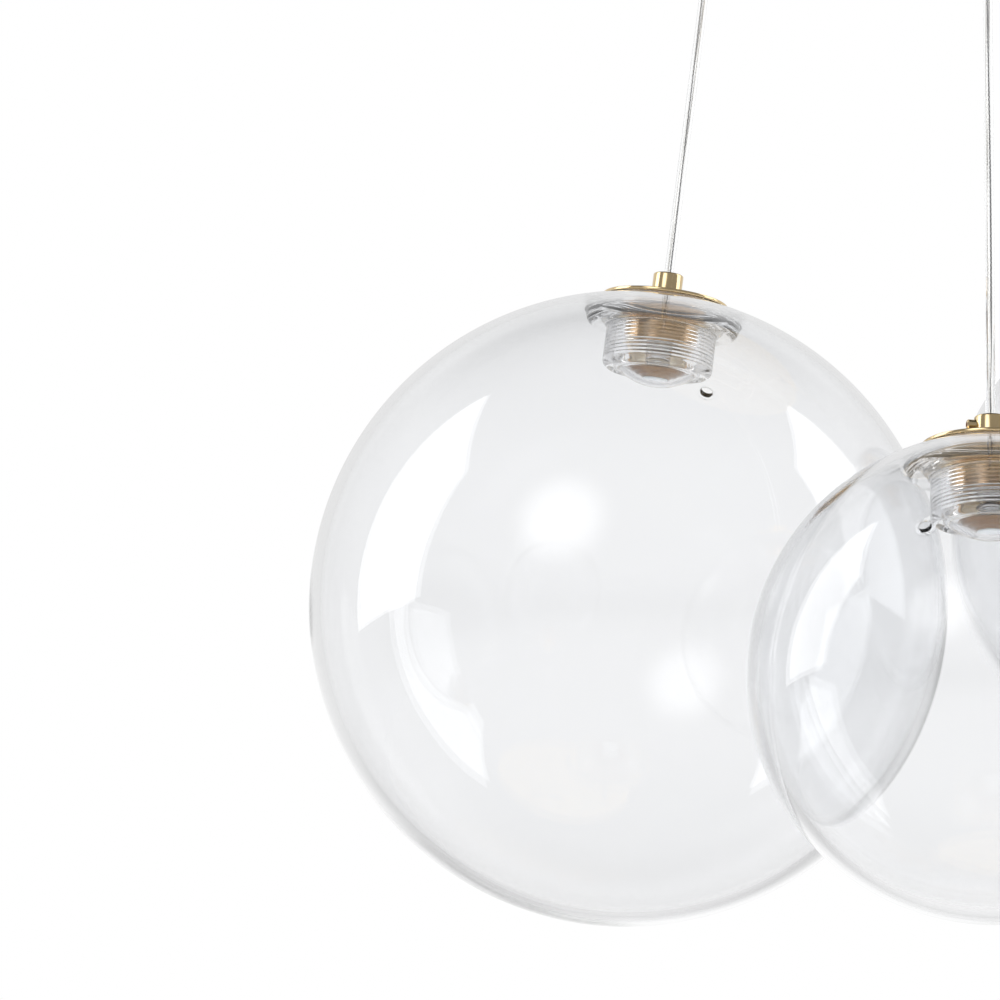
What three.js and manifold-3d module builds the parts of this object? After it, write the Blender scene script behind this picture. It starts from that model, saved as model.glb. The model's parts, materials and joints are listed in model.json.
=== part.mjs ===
// Bubble chandelier: three blown glass globes on clear cords under one round canopy.
// Millimetres, +Z up. The origin is the middle of the mounting bar's top face, on the ceiling.
// Seen along +Y the large globe hangs left, the small one in front and the medium one right.

import * as THREE from 'three';
import { mergeVertices } from 'three/addons/utils/BufferGeometryUtils.js';
import Module from 'manifold-3d';

const wasm = await Module();
wasm.setup();

// Clearances
const seatGap = 0.3;          // between pieces that rest on each other
const cutOverrun = 2;         // how far a cutting tool runs past the piece it cuts
const steps = { sphere: 11, fillet: 3, corner: 2, dome: 3, crease: 1 };
const sides = { globe: 26, fitting: 14, plate: 24, screw: 8, canopy: 36, cord: 8, vent: 8 };

// Glass globes
const largeGlobeDiameter = 250;
const smallGlobeDiameter = 175;
const mediumGlobeDiameter = 200;
const globeWall = 3;          // at the shoulder
const globeBottomWall = 5.5;  // glass settles at the bottom while it is blown
const groundFlatRadius = 27.2;
const wellBoreRadius = 17.2;
const wellRadius = 22;
const wellBoreDepth = 22.6;
const wellFloor = 4.8;
const wellCornerRadius = 3;
const wellLeadIn = 1;         // chamfer at the mouth of the well
const neckRingRadius = 30.8;  // thick ring of glass round the well's neck
const neckRingDepth = 10.2;   // of its underside below the ground flat
const neckRingEdgeShare = 0.8; // of the ring's height, rounded at its lower edge
const neckCrease = 1;         // radius between the ring and the glass beside it
const lensRadius = 13.2;      // glass lens under the well's floor
const lensRise = 4.3;
const ventRadius = 3;

// Where the globes hang
const largeGlobeSpread = 38.5; // of its middle past its cord's exit, level
const largeGlobeDrop = 317.4; // from the ceiling to its middle
const largeGlobeBearing = THREE.MathUtils.degToRad(156);
const smallGlobeBearing = THREE.MathUtils.degToRad(-52.8);
const smallGlobeRise = THREE.MathUtils.degToRad(-15.2);
const smallGlobeGap = 2;
const mediumGlobeBearing = THREE.MathUtils.degToRad(-0.6);
const mediumGlobeRise = THREE.MathUtils.degToRad(7.5);
const mediumGlobeGap = 4;

// Cord
const cordDiameter = 3.6;
const cordStepShare = 3;       // length of a bent cord's steps, in diameters

// Cap plate and seal
const washerThickness = 0.8;
const washerRadius = 24.4;
const washerBoreRadius = 18.8;
const plateRadius = 25;
const plateThickness = 1.2;
const plateEdge = 0.35;

// Cord grip on the plate, and its set screw
const gripRadius = 6;
const gripLength = 10.2;
const gripEdge = 0.6;
const stemRadius = 4.8;
const stemEngagement = 4;
const gripScrewRadius = 1.9;
const gripScrewProud = 2.9;
const gripScrewBelowTop = 3.4;
const socketRadius = 1;
const socketDepth = 1.4;

// Lamp body, which screws into the well
const headRadius = 16.75;
const headThickness = 5;
const neckRadius = 14.4;
const lampBodyLength = 17.7;
const lampBodyEdge = 0.5;
const stemHoleSpare = 0.5;
const cavityTopDepth = 6.5;
const cavityRadius = 11.4;
const boardRadius = 12.3;
const boardThickness = 1.5;
const boardShoulderDepth = 12;
const chipRadius = 4;
const chipThickness = 0.7;
const bezelRecess = 0.4;
const bezelDishRadius = 9.2;
const bezelDishDepth = 1.3;
const lampLensRadius = 4.9;
const lampLensThickness = 1;
const lampLensRise = 0.8;
const lampLensCrownShare = 0.75; // of the rise, reached half-way to the lens's rim
const ferruleRadius = 2.6;
const ferruleLength = 4;

// Canopy
const canopyRadius = 125;
const canopyHeight = 30;
const canopyWall = 1.2;
const canopyCornerRadius = 6;
const exitInset = 28.5;        // of the cords' exits from the canopy's edge
const firstExitBearing = THREE.MathUtils.degToRad(155);

// Cord grips under the canopy
const ceilingGripRadius = 6;
const ceilingGripLength = 12;
const ceilingStemRadius = 4.8;
const ceilingStemProud = 2.5; // past the nut
const ceilingScrewRadius = 1.9;
const ceilingScrewProud = 1.6;
const ceilingScrewBelowTop = 4;
const mouthRadius = 4;
const mouthDepth = 3;
const pivotAboveMouth = 2;
const nutFlats = 14;
const nutThickness = 3.5;

// Mounting bar and the screws that hold the canopy to it
const barWidth = 22;
const barThickness = 2;
const barBendRadius = 3;
const barTabHeight = 15;
const barEndClearance = 0.4;
const slotOffset = 38;
const slotLength = 24;
const slotRadius = 2.4;
const canopyScrewRadius = 1.9;
const canopyScrewDepth = 9;   // of the shank under the head
const canopyScrewBelowRim = 9;
const canopyScrewHeadRadius = 4;
const canopyScrewHeadThickness = 2.4;
const screwCrownShare = 0.8;  // of a screw head's radius that is flat on top
const earthScrewRadius = 1.8;
const earthScrewHeadRadius = 3.6;
const earthScrewHeadThickness = 2;
const earthScrewOffset = 66;

// Driver and connectors in the canopy
const driverSize = { length: 84, width: 34, height: 18 };
const driverPlace = { x: -8, y: -42 };
const driverCornerRadius = 3;
const padThickness = 1;
const padInset = 6;
const outputBlockSize = { length: 22, width: 18, height: 11 };
const outputBlockPlace = { x: 52, y: -20 };
const terminalBlockSize = { length: 32, width: 17, height: 13 };
const terminalBlockPlace = { x: -60, y: 0 };
const blockCornerRadius = 1.5;
const terminalPoles = 3;
const terminalWellRadius = 1.9;
const terminalWellDepth = 4;
const outputPoles = 4;
const outputSlotWidth = 2.6;
const outputSlotDepth = 3;
const leadHeight = 9.5;       // of the lead ends above the canopy's floor
const outputEntrySpread = 10;

// Every piece is made as a closed solid first, so that it can be cut and joined.
function solid(geometry) {
  const bare = geometry.clone();
  for (const name of Object.keys(bare.attributes)) {
    if (name !== 'position') bare.deleteAttribute(name);
  }
  const merged = mergeVertices(bare);
  const corners = merged.index.array;
  const kept = [];
  for (let i = 0; i < corners.length; i += 3) {
    const [a, b, c] = corners.slice(i, i + 3);
    if (a !== b && b !== c && c !== a) kept.push(a, b, c);
  }
  return new wasm.Manifold(new wasm.Mesh({
    numProp: 3,
    vertProperties: new Float32Array(merged.attributes.position.array),
    triVerts: new Uint32Array(kept),
  }));
}

// The solid's own triangles, flat shaded.
function geometryOf(body) {
  const { vertProperties, triVerts } = body.getMesh();
  const geometry = new THREE.BufferGeometry();
  geometry.setAttribute('position', new THREE.BufferAttribute(new Float32Array(vertProperties), 3));
  geometry.setIndex(new THREE.BufferAttribute(new Uint32Array(triVerts), 1));
  const flat = geometry.toNonIndexed();
  flat.computeVertexNormals();
  return flat;
}

// A profile of [radius, height] points turned about Z. Off the axis it is closed on itself.
function revolve(profile, sideCount) {
  const area = profile.reduce((sum, [r, z], i) => {
    const [nextR, nextZ] = profile[(i + 1) % profile.length];
    return sum + r * nextZ - nextR * z;
  }, 0);
  const run = area > 0 ? [...profile] : [...profile].reverse();
  const first = run.findIndex(([r], i) => r === 0 && run[(i + run.length - 1) % run.length][0] === 0);
  const ordered = first < 0 ? [...run, run[0]] : [...run.slice(first), ...run.slice(0, first)];
  const points = ordered.map(([r, z]) => new THREE.Vector2(r, z));
  return new THREE.LatheGeometry(points, sideCount).rotateX(Math.PI / 2);
}

// Points on a round stretch of a profile, both ends included.
function arc(centreR, centreZ, radius, from, to, count) {
  return Array.from({ length: count + 1 }, (_, i) => {
    const angle = from + (to - from) * i / count;
    return [centreR + radius * Math.cos(angle), centreZ + radius * Math.sin(angle)];
  });
}

// An outline in X and Y with its lowest face at the given height.
function slab(outline, height, bottom = 0) {
  return new THREE.ExtrudeGeometry(outline, { depth: height, bevelEnabled: false, curveSegments: 3 })
    .translate(0, 0, bottom);
}

function roundedRectangle(length, width, corner) {
  const outline = new THREE.Shape();
  const [halfLength, halfWidth] = [length / 2, width / 2];
  const [x, y] = [halfLength - corner, halfWidth - corner];
  outline.absarc(x, y, corner, 0, Math.PI / 2);
  outline.absarc(-x, y, corner, Math.PI / 2, Math.PI);
  outline.absarc(-x, -y, corner, Math.PI, 1.5 * Math.PI);
  outline.absarc(x, -y, corner, 1.5 * Math.PI, 2 * Math.PI);
  return outline;
}

// A round bar along Z between two heights.
function rod(radius, bottom, top, sideCount) {
  return new THREE.CylinderGeometry(radius, radius, top - bottom, sideCount)
    .rotateX(Math.PI / 2)
    .translate(0, 0, (bottom + top) / 2);
}

// The same bar laid along X, from one distance to another.
function crossRod(radius, from, to, height, sideCount) {
  return rod(radius, from, to, sideCount).rotateY(Math.PI / 2).translate(0, 0, height);
}

// Colours and surfaces
function surface(color, roughness, metalness, opacity = 1) {
  return new THREE.MeshStandardMaterial({ color, roughness, metalness, opacity, transparent: opacity < 1 });
}
const brass = () => surface(0xcfa65a, 0.18, 1);
const steel = () => surface(0xb9bcc0, 0.3, 1);
const zincPlate = () => surface(0xa9adb0, 0.45, 0.9);
const clearGlass = () => surface(0xf3f6f7, 0.02, 0, 0.35);
const clearRubber = () => surface(0xe9ebea, 0.35, 0, 0.6);
const clearJacket = () => surface(0xd6d9da, 0.25, 0, 0.7);
const whitePlastic = () => surface(0xeceae4, 0.5, 0);
const greyFoam = () => surface(0x77797a, 0.95, 0);
const boardWhite = () => surface(0xf2f1ea, 0.4, 0.1);
const diffuser = () => surface(0xfbfaf2, 0.25, 0, 0.85);

function piece(name, body, material, parent, turn = 0) {
  const mesh = new THREE.Mesh(geometryOf(body), material);
  mesh.name = name;
  mesh.rotation.z = turn;
  parent.add(mesh);
  return mesh;
}

// A bent cord or lead: an eight-sided tube along a path.
function tube(path, diameter) {
  const section = new THREE.Shape();
  for (let i = 0; i < sides.cord; i += 1) {
    const angle = (i + 0.5) * 2 * Math.PI / sides.cord;
    const [x, y] = [diameter / 2 * Math.cos(angle), diameter / 2 * Math.sin(angle)];
    if (i === 0) section.moveTo(x, y);
    else section.lineTo(x, y);
  }
  const count = Math.ceil(path.getLength() / (cordStepShare * diameter));
  return solid(new THREE.ExtrudeGeometry(section, { steps: count, extrudePath: path, bevelEnabled: false }));
}

const cordBoreRadius = cordDiameter / 2 + seatGap;
const stemHoleRadius = stemRadius + seatGap;

// Heights of the parts of one hanging lamp above its globe's middle, along the cord.
function lampHeights(globeRadius) {
  const seat = Math.sqrt(globeRadius ** 2 - groundFlatRadius ** 2);
  const washer = seat + seatGap;
  const plate = washer + washerThickness + seatGap;
  const grip = plate + plateThickness + seatGap;
  const head = plate - seatGap;
  const cavity = head - cavityTopDepth;
  const board = plate - boardShoulderDepth - seatGap - boardThickness;
  return { seat, washer, plate, grip, gripTop: grip + gripLength, head, cavity, board,
    lampBottom: plate - lampBodyLength };
}

// The blown globe with its re-entrant well. The outside and the hollow are two turned forms,
// and the vent that the hot air leaves by joins them.
function glassGlobe(radius, at, vent) {
  const flatEdge = Math.atan2(at.seat, groundFlatRadius);
  const floor = at.seat - wellBoreDepth;
  const outside = [
    [0, -radius],
    ...arc(0, 0, radius, -Math.PI / 2, flatEdge, steps.sphere).slice(1),
    [wellBoreRadius + wellLeadIn, at.seat],
    [wellBoreRadius, at.seat - wellLeadIn],
    [wellBoreRadius, floor],
    [0, floor],
  ];
  const hollowRadius = radius - (globeWall + globeBottomWall) / 2;
  const hollowMiddle = (globeBottomWall - globeWall) / 2;
  const ringSide = neckRingRadius + neckCrease;
  const creaseReach = hollowRadius - neckCrease;
  const creaseAngle = Math.acos(ringSide / creaseReach);
  const creaseZ = hollowMiddle + creaseReach * Math.sin(creaseAngle);
  const ringUnder = at.seat - neckRingDepth;
  const ringEdge = (creaseZ - ringUnder) * neckRingEdgeShare;
  const under = floor - wellFloor;
  const lensBall = (lensRadius ** 2 + lensRise ** 2) / (2 * lensRise);
  const lensAngle = Math.asin(lensRadius / lensBall);
  const hollow = [
    [0, hollowMiddle - hollowRadius],
    ...arc(0, hollowMiddle, hollowRadius, -Math.PI / 2, creaseAngle, steps.sphere - 1).slice(1),
    ...arc(ringSide, creaseZ, neckCrease, creaseAngle, Math.PI, steps.crease).slice(1),
    ...arc(neckRingRadius - ringEdge, ringUnder + ringEdge, ringEdge, 0, -Math.PI / 2, steps.corner),
    ...arc(wellRadius + neckCrease, ringUnder - neckCrease, neckCrease,
      Math.PI / 2, Math.PI, steps.crease),
    ...arc(wellRadius - wellCornerRadius, under + wellCornerRadius, wellCornerRadius,
      0, -Math.PI / 2, steps.corner),
    ...arc(0, under - lensRise + lensBall, lensBall,
      lensAngle - Math.PI / 2, -Math.PI / 2, steps.dome).slice(0, -1),
    [0, under - lensRise],
  ];
  const ventHole = rod(ventRadius, radius - globeBottomWall - cutOverrun, radius + cutOverrun, sides.vent)
    .rotateY(THREE.MathUtils.degToRad(vent.lean))
    .rotateZ(THREE.MathUtils.degToRad(vent.turn));
  return solid(revolve(outside, sides.globe))
    .subtract(solid(revolve(hollow, sides.globe)))
    .subtract(solid(ventHole));
}

function sealWasher(at) {
  const top = at.washer + washerThickness;
  return solid(revolve([[washerBoreRadius, at.washer], [washerRadius, at.washer],
    [washerRadius, top], [washerBoreRadius, top]], sides.plate));
}

function capPlate(at) {
  const top = at.plate + plateThickness;
  return solid(revolve([[stemHoleRadius, at.plate], [plateRadius - plateEdge, at.plate],
    [plateRadius, at.plate + plateEdge], [plateRadius, top - plateEdge],
    [plateRadius - plateEdge, top], [stemHoleRadius, top]], sides.plate));
}

// The cord grip sits on the plate, and its stem runs through it into the lamp body.
function cordGrip(at) {
  const stemBottom = at.head - stemEngagement;
  const turned = solid(revolve([[cordBoreRadius, stemBottom], [stemRadius, stemBottom],
    [stemRadius, at.grip], [gripRadius, at.grip], [gripRadius, at.gripTop - gripEdge],
    [gripRadius - gripEdge, at.gripTop], [cordBoreRadius, at.gripTop]], sides.fitting));
  const hole = crossRod(gripScrewRadius + seatGap, 0, gripRadius + cutOverrun,
    at.gripTop - gripScrewBelowTop, sides.screw);
  return turned.subtract(solid(hole));
}

// A set screw along X with a six-sided socket in its outer end.
function setScrew(radius, from, to, height) {
  const shank = solid(crossRod(radius, from, to, height, sides.screw));
  const socket = solid(crossRod(socketRadius, to - socketDepth, to + cutOverrun, height, 6));
  return shank.subtract(socket);
}

// Turned brass housing: a threaded head, a slimmer body, and a pocket for the light source.
function lampBody(at) {
  const pocket = boardRadius + seatGap;
  const stemHoleBottom = at.head - stemEngagement - stemHoleSpare;
  return solid(revolve([[stemHoleRadius, at.head], [headRadius, at.head],
    [headRadius, at.head - headThickness], [neckRadius, at.head - headThickness],
    [neckRadius, at.lampBottom + lampBodyEdge], [neckRadius - lampBodyEdge, at.lampBottom],
    [pocket, at.lampBottom], [pocket, at.plate - boardShoulderDepth],
    [cavityRadius, at.plate - boardShoulderDepth], [cavityRadius, at.cavity],
    [cordBoreRadius, at.cavity], [cordBoreRadius, stemHoleBottom],
    [stemHoleRadius, stemHoleBottom]], sides.fitting));
}

// Crimped on the steel strand, so that the lamp's weight hangs on the strand.
function strandFerrule(at) {
  const top = at.cavity - seatGap;
  return solid(rod(ferruleRadius, top - ferruleLength, top, sides.screw));
}

function ledBoard(at) {
  return solid(revolve([[0, at.board + boardThickness], [boardRadius, at.board + boardThickness],
    [boardRadius, at.board], [chipRadius, at.board], [chipRadius, at.board - chipThickness],
    [0, at.board - chipThickness]], sides.fitting));
}

function ledBezel(at) {
  const top = at.board - seatGap;
  const bottom = at.lampBottom + bezelRecess;
  const throat = lampLensRadius + seatGap;
  return solid(revolve([[boardRadius, top], [boardRadius, bottom], [bezelDishRadius, bottom],
    [throat, bottom + bezelDishDepth], [throat, top]], sides.fitting));
}

function ledLens(at) {
  const top = at.board - chipThickness - seatGap;
  const rim = top - lampLensThickness;
  return solid(revolve([[0, top], [lampLensRadius, top], [lampLensRadius, rim],
    [lampLensRadius / 2, rim - lampLensRise * lampLensCrownShare], [0, rim - lampLensRise]],
  sides.fitting));
}

// Heights in the canopy, from the ceiling
const canopyFloor = canopyWall - canopyHeight;
const ceilingGripTop = -canopyHeight - seatGap;
const ceilingGripBottom = ceilingGripTop - ceilingGripLength;
const pivotHeight = ceilingGripBottom + pivotAboveMouth;
const nutBottom = canopyFloor + seatGap;
const ceilingStemTop = nutBottom + nutThickness + ceilingStemProud;
const tailBottom = ceilingStemTop + seatGap;
const exitHoleRadius = ceilingStemRadius + seatGap;
const exitBearings = [0, 1, 2].map((i) => firstExitBearing + i * 2 * Math.PI / 3);
const exitCircleRadius = canopyRadius - exitInset;
const exits = exitBearings.map((bearing) => new THREE.Vector3(
  exitCircleRadius * Math.cos(bearing), exitCircleRadius * Math.sin(bearing), pivotHeight));

function canopyShell() {
  const inner = canopyRadius - canopyWall;
  const outerCorner = canopyRadius - canopyCornerRadius;
  const cornerZ = canopyCornerRadius - canopyHeight;
  const profile = [
    [0, -canopyHeight],
    ...arc(outerCorner, cornerZ, canopyCornerRadius, -Math.PI / 2, 0, steps.fillet),
    [canopyRadius, 0],
    [inner, 0],
    ...arc(outerCorner, cornerZ, canopyCornerRadius - canopyWall, 0, -Math.PI / 2, steps.fillet),
    [0, canopyFloor],
  ];
  let shell = solid(revolve(profile, sides.canopy));
  for (const exit of exits) {
    const hole = rod(exitHoleRadius, -canopyHeight - cutOverrun, canopyFloor + cutOverrun, sides.fitting);
    shell = shell.subtract(solid(hole.translate(exit.x, exit.y, 0)));
  }
  const reach = canopyRadius + cutOverrun;
  return shell.subtract(solid(crossRod(canopyScrewRadius + seatGap, -reach, reach,
    -canopyScrewBelowRim, sides.screw)));
}

// Flat strip with both ends bent down behind the canopy's wall.
function mountingBar() {
  const wallFace = (canopyRadius - canopyWall) * Math.cos(Math.PI / sides.canopy) - barEndClearance;
  const end = Math.sqrt(wallFace ** 2 - (barWidth / 2) ** 2);
  const innerBend = barBendRadius - barThickness;
  const strip = new THREE.Shape();
  strip.moveTo(-end, -barTabHeight);
  strip.absarc(-end + barBendRadius, -barBendRadius, barBendRadius, Math.PI, Math.PI / 2, true);
  strip.absarc(end - barBendRadius, -barBendRadius, barBendRadius, Math.PI / 2, 0, true);
  strip.lineTo(end, -barTabHeight);
  strip.lineTo(end - barThickness, -barTabHeight);
  strip.absarc(end - barBendRadius, -barBendRadius, innerBend, 0, Math.PI / 2);
  strip.absarc(-end + barBendRadius, -barBendRadius, innerBend, Math.PI / 2, Math.PI);
  strip.lineTo(-end + barThickness, -barTabHeight);
  let bar = solid(slab(strip, barWidth, -barWidth / 2).rotateX(Math.PI / 2));
  for (const side of [-1, 1]) {
    const slot = slab(roundedRectangle(slotLength, 2 * slotRadius, slotRadius),
      barThickness + 2 * cutOverrun, -barThickness - cutOverrun);
    bar = bar.subtract(solid(slot.translate(side * slotOffset, 0, 0)));
  }
  const earthHole = rod(earthScrewRadius + seatGap, -barThickness - cutOverrun, cutOverrun, sides.screw);
  const screwHoles = crossRod(canopyScrewRadius + seatGap, -end - cutOverrun, end + cutOverrun,
    -canopyScrewBelowRim, sides.screw);
  return bar
    .subtract(solid(earthHole.translate(earthScrewOffset, 0, 0)))
    .subtract(solid(screwHoles));
}

// A pan-head screw along Z with its head downwards. The shank starts at the given height.
function panScrew(shank, head, base) {
  const crown = base - head.thickness;
  return solid(revolve([[0, crown], [head.radius * screwCrownShare, crown],
    [head.radius, base - head.thickness / 2], [head.radius, base], [shank.radius, base],
    [shank.radius, base + shank.length], [0, base + shank.length]], sides.screw));
}

function canopyScrew() {
  const screw = geometryOf(panScrew({ radius: canopyScrewRadius, length: canopyScrewDepth },
    { radius: canopyScrewHeadRadius, thickness: canopyScrewHeadThickness }, 0));
  return solid(screw.rotateY(-Math.PI / 2)
    .translate(canopyRadius + seatGap, 0, -canopyScrewBelowRim));
}

function earthScrew() {
  const screw = geometryOf(panScrew({ radius: earthScrewRadius, length: barThickness },
    { radius: earthScrewHeadRadius, thickness: earthScrewHeadThickness }, -barThickness - seatGap));
  return solid(screw.translate(earthScrewOffset, 0, 0));
}

// Grip under the canopy: the cord leaves it by a flared mouth, and its stem takes the nut inside.
function ceilingGrip() {
  const throatZ = ceilingGripBottom + mouthDepth;
  const turned = solid(revolve([[mouthRadius, ceilingGripBottom],
    [ceilingGripRadius - gripEdge, ceilingGripBottom],
    [ceilingGripRadius, ceilingGripBottom + gripEdge], [ceilingGripRadius, ceilingGripTop],
    [ceilingStemRadius, ceilingGripTop], [ceilingStemRadius, ceilingStemTop],
    [cordBoreRadius, ceilingStemTop], [cordBoreRadius, throatZ]], sides.fitting));
  const hole = crossRod(ceilingScrewRadius + seatGap, 0, ceilingGripRadius + cutOverrun,
    ceilingGripTop - ceilingScrewBelowTop, sides.screw);
  return turned.subtract(solid(hole));
}

function gripNut() {
  const outline = new THREE.Shape();
  const corner = nutFlats / 2 / Math.cos(Math.PI / 6);
  for (let i = 0; i < 6; i += 1) {
    const angle = i * Math.PI / 3;
    if (i === 0) outline.moveTo(corner, 0);
    else outline.lineTo(corner * Math.cos(angle), corner * Math.sin(angle));
  }
  const bore = rod(exitHoleRadius, nutBottom - cutOverrun, nutBottom + nutThickness + cutOverrun,
    sides.fitting);
  return solid(slab(outline, nutThickness, nutBottom)).subtract(solid(bore));
}

// Driver on its foam pad, and the two connectors
const padBottom = canopyFloor + seatGap;
const driverBottom = padBottom + padThickness + seatGap;
const leadZ = canopyFloor + leadHeight;

function driverPad() {
  return solid(slab(roundedRectangle(driverSize.length - 2 * padInset, driverSize.width - 2 * padInset,
    driverCornerRadius), padThickness, padBottom).translate(driverPlace.x, driverPlace.y, 0));
}

function ledDriver() {
  return solid(slab(roundedRectangle(driverSize.length, driverSize.width, driverCornerRadius),
    driverSize.height, driverBottom).translate(driverPlace.x, driverPlace.y, 0));
}

// Lever connector on the canopy's floor: one slot for each lead along its top.
function outputBlock() {
  const { length, width, height } = outputBlockSize;
  const bottom = canopyFloor + seatGap;
  let block = solid(slab(roundedRectangle(length, width, blockCornerRadius), height, bottom));
  const pitch = length / outputPoles;
  for (let i = 0; i < outputPoles; i += 1) {
    const slot = new THREE.BoxGeometry(outputSlotWidth, width / 2, 2 * outputSlotDepth);
    block = block.subtract(solid(slot.translate((i - (outputPoles - 1) / 2) * pitch, 0, bottom + height)));
  }
  return solid(geometryOf(block).translate(outputBlockPlace.x, outputBlockPlace.y, 0));
}

// Mains terminal block under the bar, with a screw well for each pole on its lower face.
function terminalBlock() {
  const { length, width, height } = terminalBlockSize;
  const top = -barThickness - seatGap;
  let block = solid(slab(roundedRectangle(width, length, blockCornerRadius), height, top - height));
  const pitch = length / terminalPoles;
  for (let i = 0; i < terminalPoles; i += 1) {
    const well = rod(terminalWellRadius, top - height - cutOverrun, top - height + terminalWellDepth,
      sides.screw);
    block = block.subtract(solid(well.translate(0, (i - (terminalPoles - 1) / 2) * pitch, 0)));
  }
  return solid(geometryOf(block).translate(terminalBlockPlace.x, terminalBlockPlace.y, 0));
}

// Routes of the leads in the canopy, chosen by hand. Each leaves its grip straight up.
const outputFaceBack = outputBlockPlace.y + outputBlockSize.width / 2 + seatGap;
const outputFaceFront = outputBlockPlace.y - outputBlockSize.width / 2 - seatGap;
const entryLeft = outputBlockPlace.x - outputEntrySpread / 2;
const entryRight = outputBlockPlace.x + outputEntrySpread / 2;
const tailRoutes = [
  [[-83, 39, -13], [-72, 36, -12], [-60, 34, -14], [-42, 31, leadZ + 1], [-20, 28, leadZ],
    [10, 25, leadZ], [32, 17, leadZ], [entryLeft - 2, 5, leadZ], [entryLeft, outputFaceBack + 4, leadZ],
    [entryLeft, outputFaceBack, leadZ]],
  [[12, -94, -13], [22, -90, -12], [33, -85, -14], [46, -76, leadZ + 1], [57, -64, leadZ],
    [60, -50, leadZ], [entryRight, -36, leadZ], [entryRight, outputFaceFront, leadZ]],
  [[77, 51, -13], [75, 41, -12], [73, 30, -14], [69, 18, leadZ + 1], [61, 6, leadZ],
    [entryRight, outputFaceBack + 5, leadZ], [entryRight, outputFaceBack, leadZ]],
];

function cordTail(exit, route) {
  const points = [
    new THREE.Vector3(exit.x, exit.y, tailBottom),
    new THREE.Vector3(exit.x, exit.y, tailBottom + cordDiameter),
    ...route.map(([x, y, z]) => new THREE.Vector3(x, y, z)),
  ];
  return tube(new THREE.CatmullRomCurve3(points), cordDiameter);
}

function mainsLead() {
  const end = driverPlace.x - driverSize.length / 2 - seatGap;
  const face = terminalBlockPlace.y - terminalBlockSize.length / 2 - seatGap;
  const blockMiddle = -barThickness - seatGap - terminalBlockSize.height / 2;
  const points = [[end, driverPlace.y, leadZ], [end - 6, driverPlace.y, leadZ],
    [-65, -39, leadZ + 2], [-68, -30, blockMiddle - 2], [terminalBlockPlace.x - 3, -22, blockMiddle],
    [terminalBlockPlace.x - 3, face, blockMiddle]];
  return tube(new THREE.CatmullRomCurve3(points.map(([x, y, z]) => new THREE.Vector3(x, y, z))),
    cordDiameter);
}

function outputLead() {
  const end = driverPlace.x + driverSize.length / 2 + seatGap;
  const points = [[end, driverPlace.y, leadZ], [end + 5, driverPlace.y, leadZ],
    [entryLeft - 2, -40, leadZ], [entryLeft, -35, leadZ], [entryLeft, outputFaceFront, leadZ]];
  return tube(new THREE.CatmullRomCurve3(points.map(([x, y, z]) => new THREE.Vector3(x, y, z))),
    cordDiameter);
}

// Middles of the globes. The large one is set by its reach and drop, and the others touch it.
function beside(middle, distance, bearing, rise) {
  const level = distance * Math.cos(rise);
  return new THREE.Vector3(level * Math.cos(bearing), level * Math.sin(bearing), distance * Math.sin(rise))
    .add(middle);
}
const largeGlobeReach = exitCircleRadius + largeGlobeSpread;
const largeMiddle = new THREE.Vector3(largeGlobeReach * Math.cos(largeGlobeBearing),
  largeGlobeReach * Math.sin(largeGlobeBearing), -largeGlobeDrop);
const smallMiddle = beside(largeMiddle,
  (largeGlobeDiameter + smallGlobeDiameter) / 2 + smallGlobeGap, smallGlobeBearing, smallGlobeRise);
const mediumMiddle = beside(largeMiddle,
  (largeGlobeDiameter + mediumGlobeDiameter) / 2 + mediumGlobeGap, mediumGlobeBearing, mediumGlobeRise);

// In degrees, a vent leans from the cord and is turned about it, as the set screw is.
const lamps = [
  { size: 'large', radius: largeGlobeDiameter / 2, middle: largeMiddle,
    vent: { lean: 33.7, turn: 71 }, screwTurn: 115 },
  { size: 'small', radius: smallGlobeDiameter / 2, middle: smallMiddle,
    vent: { lean: 38, turn: 112 }, screwTurn: 190 },
  { size: 'medium', radius: mediumGlobeDiameter / 2, middle: mediumMiddle,
    vent: { lean: 36, turn: 90 }, screwTurn: 20 },
];

// One hanging lamp. Its group stands at the globe's middle with +Z along the cord.
function hangingLamp({ size, radius, middle, vent, screwTurn }, exit) {
  const group = new THREE.Group();
  const along = exit.clone().sub(middle);
  group.position.copy(middle);
  group.quaternion.setFromUnitVectors(new THREE.Vector3(0, 0, 1), along.clone().normalize());
  const at = lampHeights(radius);
  const screw = THREE.MathUtils.degToRad(screwTurn);
  piece(`glass_globe_${size}`, glassGlobe(radius, at, vent), clearGlass(), group);
  piece(`seal_washer_${size}`, sealWasher(at), clearRubber(), group);
  piece(`cap_plate_${size}`, capPlate(at), brass(), group);
  piece(`cord_grip_${size}`, cordGrip(at), brass(), group, screw);
  piece(`grip_screw_${size}`, setScrew(gripScrewRadius, cordBoreRadius, gripRadius + gripScrewProud,
    at.gripTop - gripScrewBelowTop), brass(), group, screw);
  piece(`lamp_body_${size}`, lampBody(at), brass(), group);
  piece(`strand_ferrule_${size}`, strandFerrule(at), steel(), group);
  piece(`led_board_${size}`, ledBoard(at), boardWhite(), group);
  piece(`led_bezel_${size}`, ledBezel(at), brass(), group);
  piece(`led_lens_${size}`, ledLens(at), diffuser(), group);
  piece(`cord_${size}`, solid(rod(cordDiameter / 2, at.cavity, along.length(), sides.cord)),
    clearJacket(), group);
  return group;
}

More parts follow.
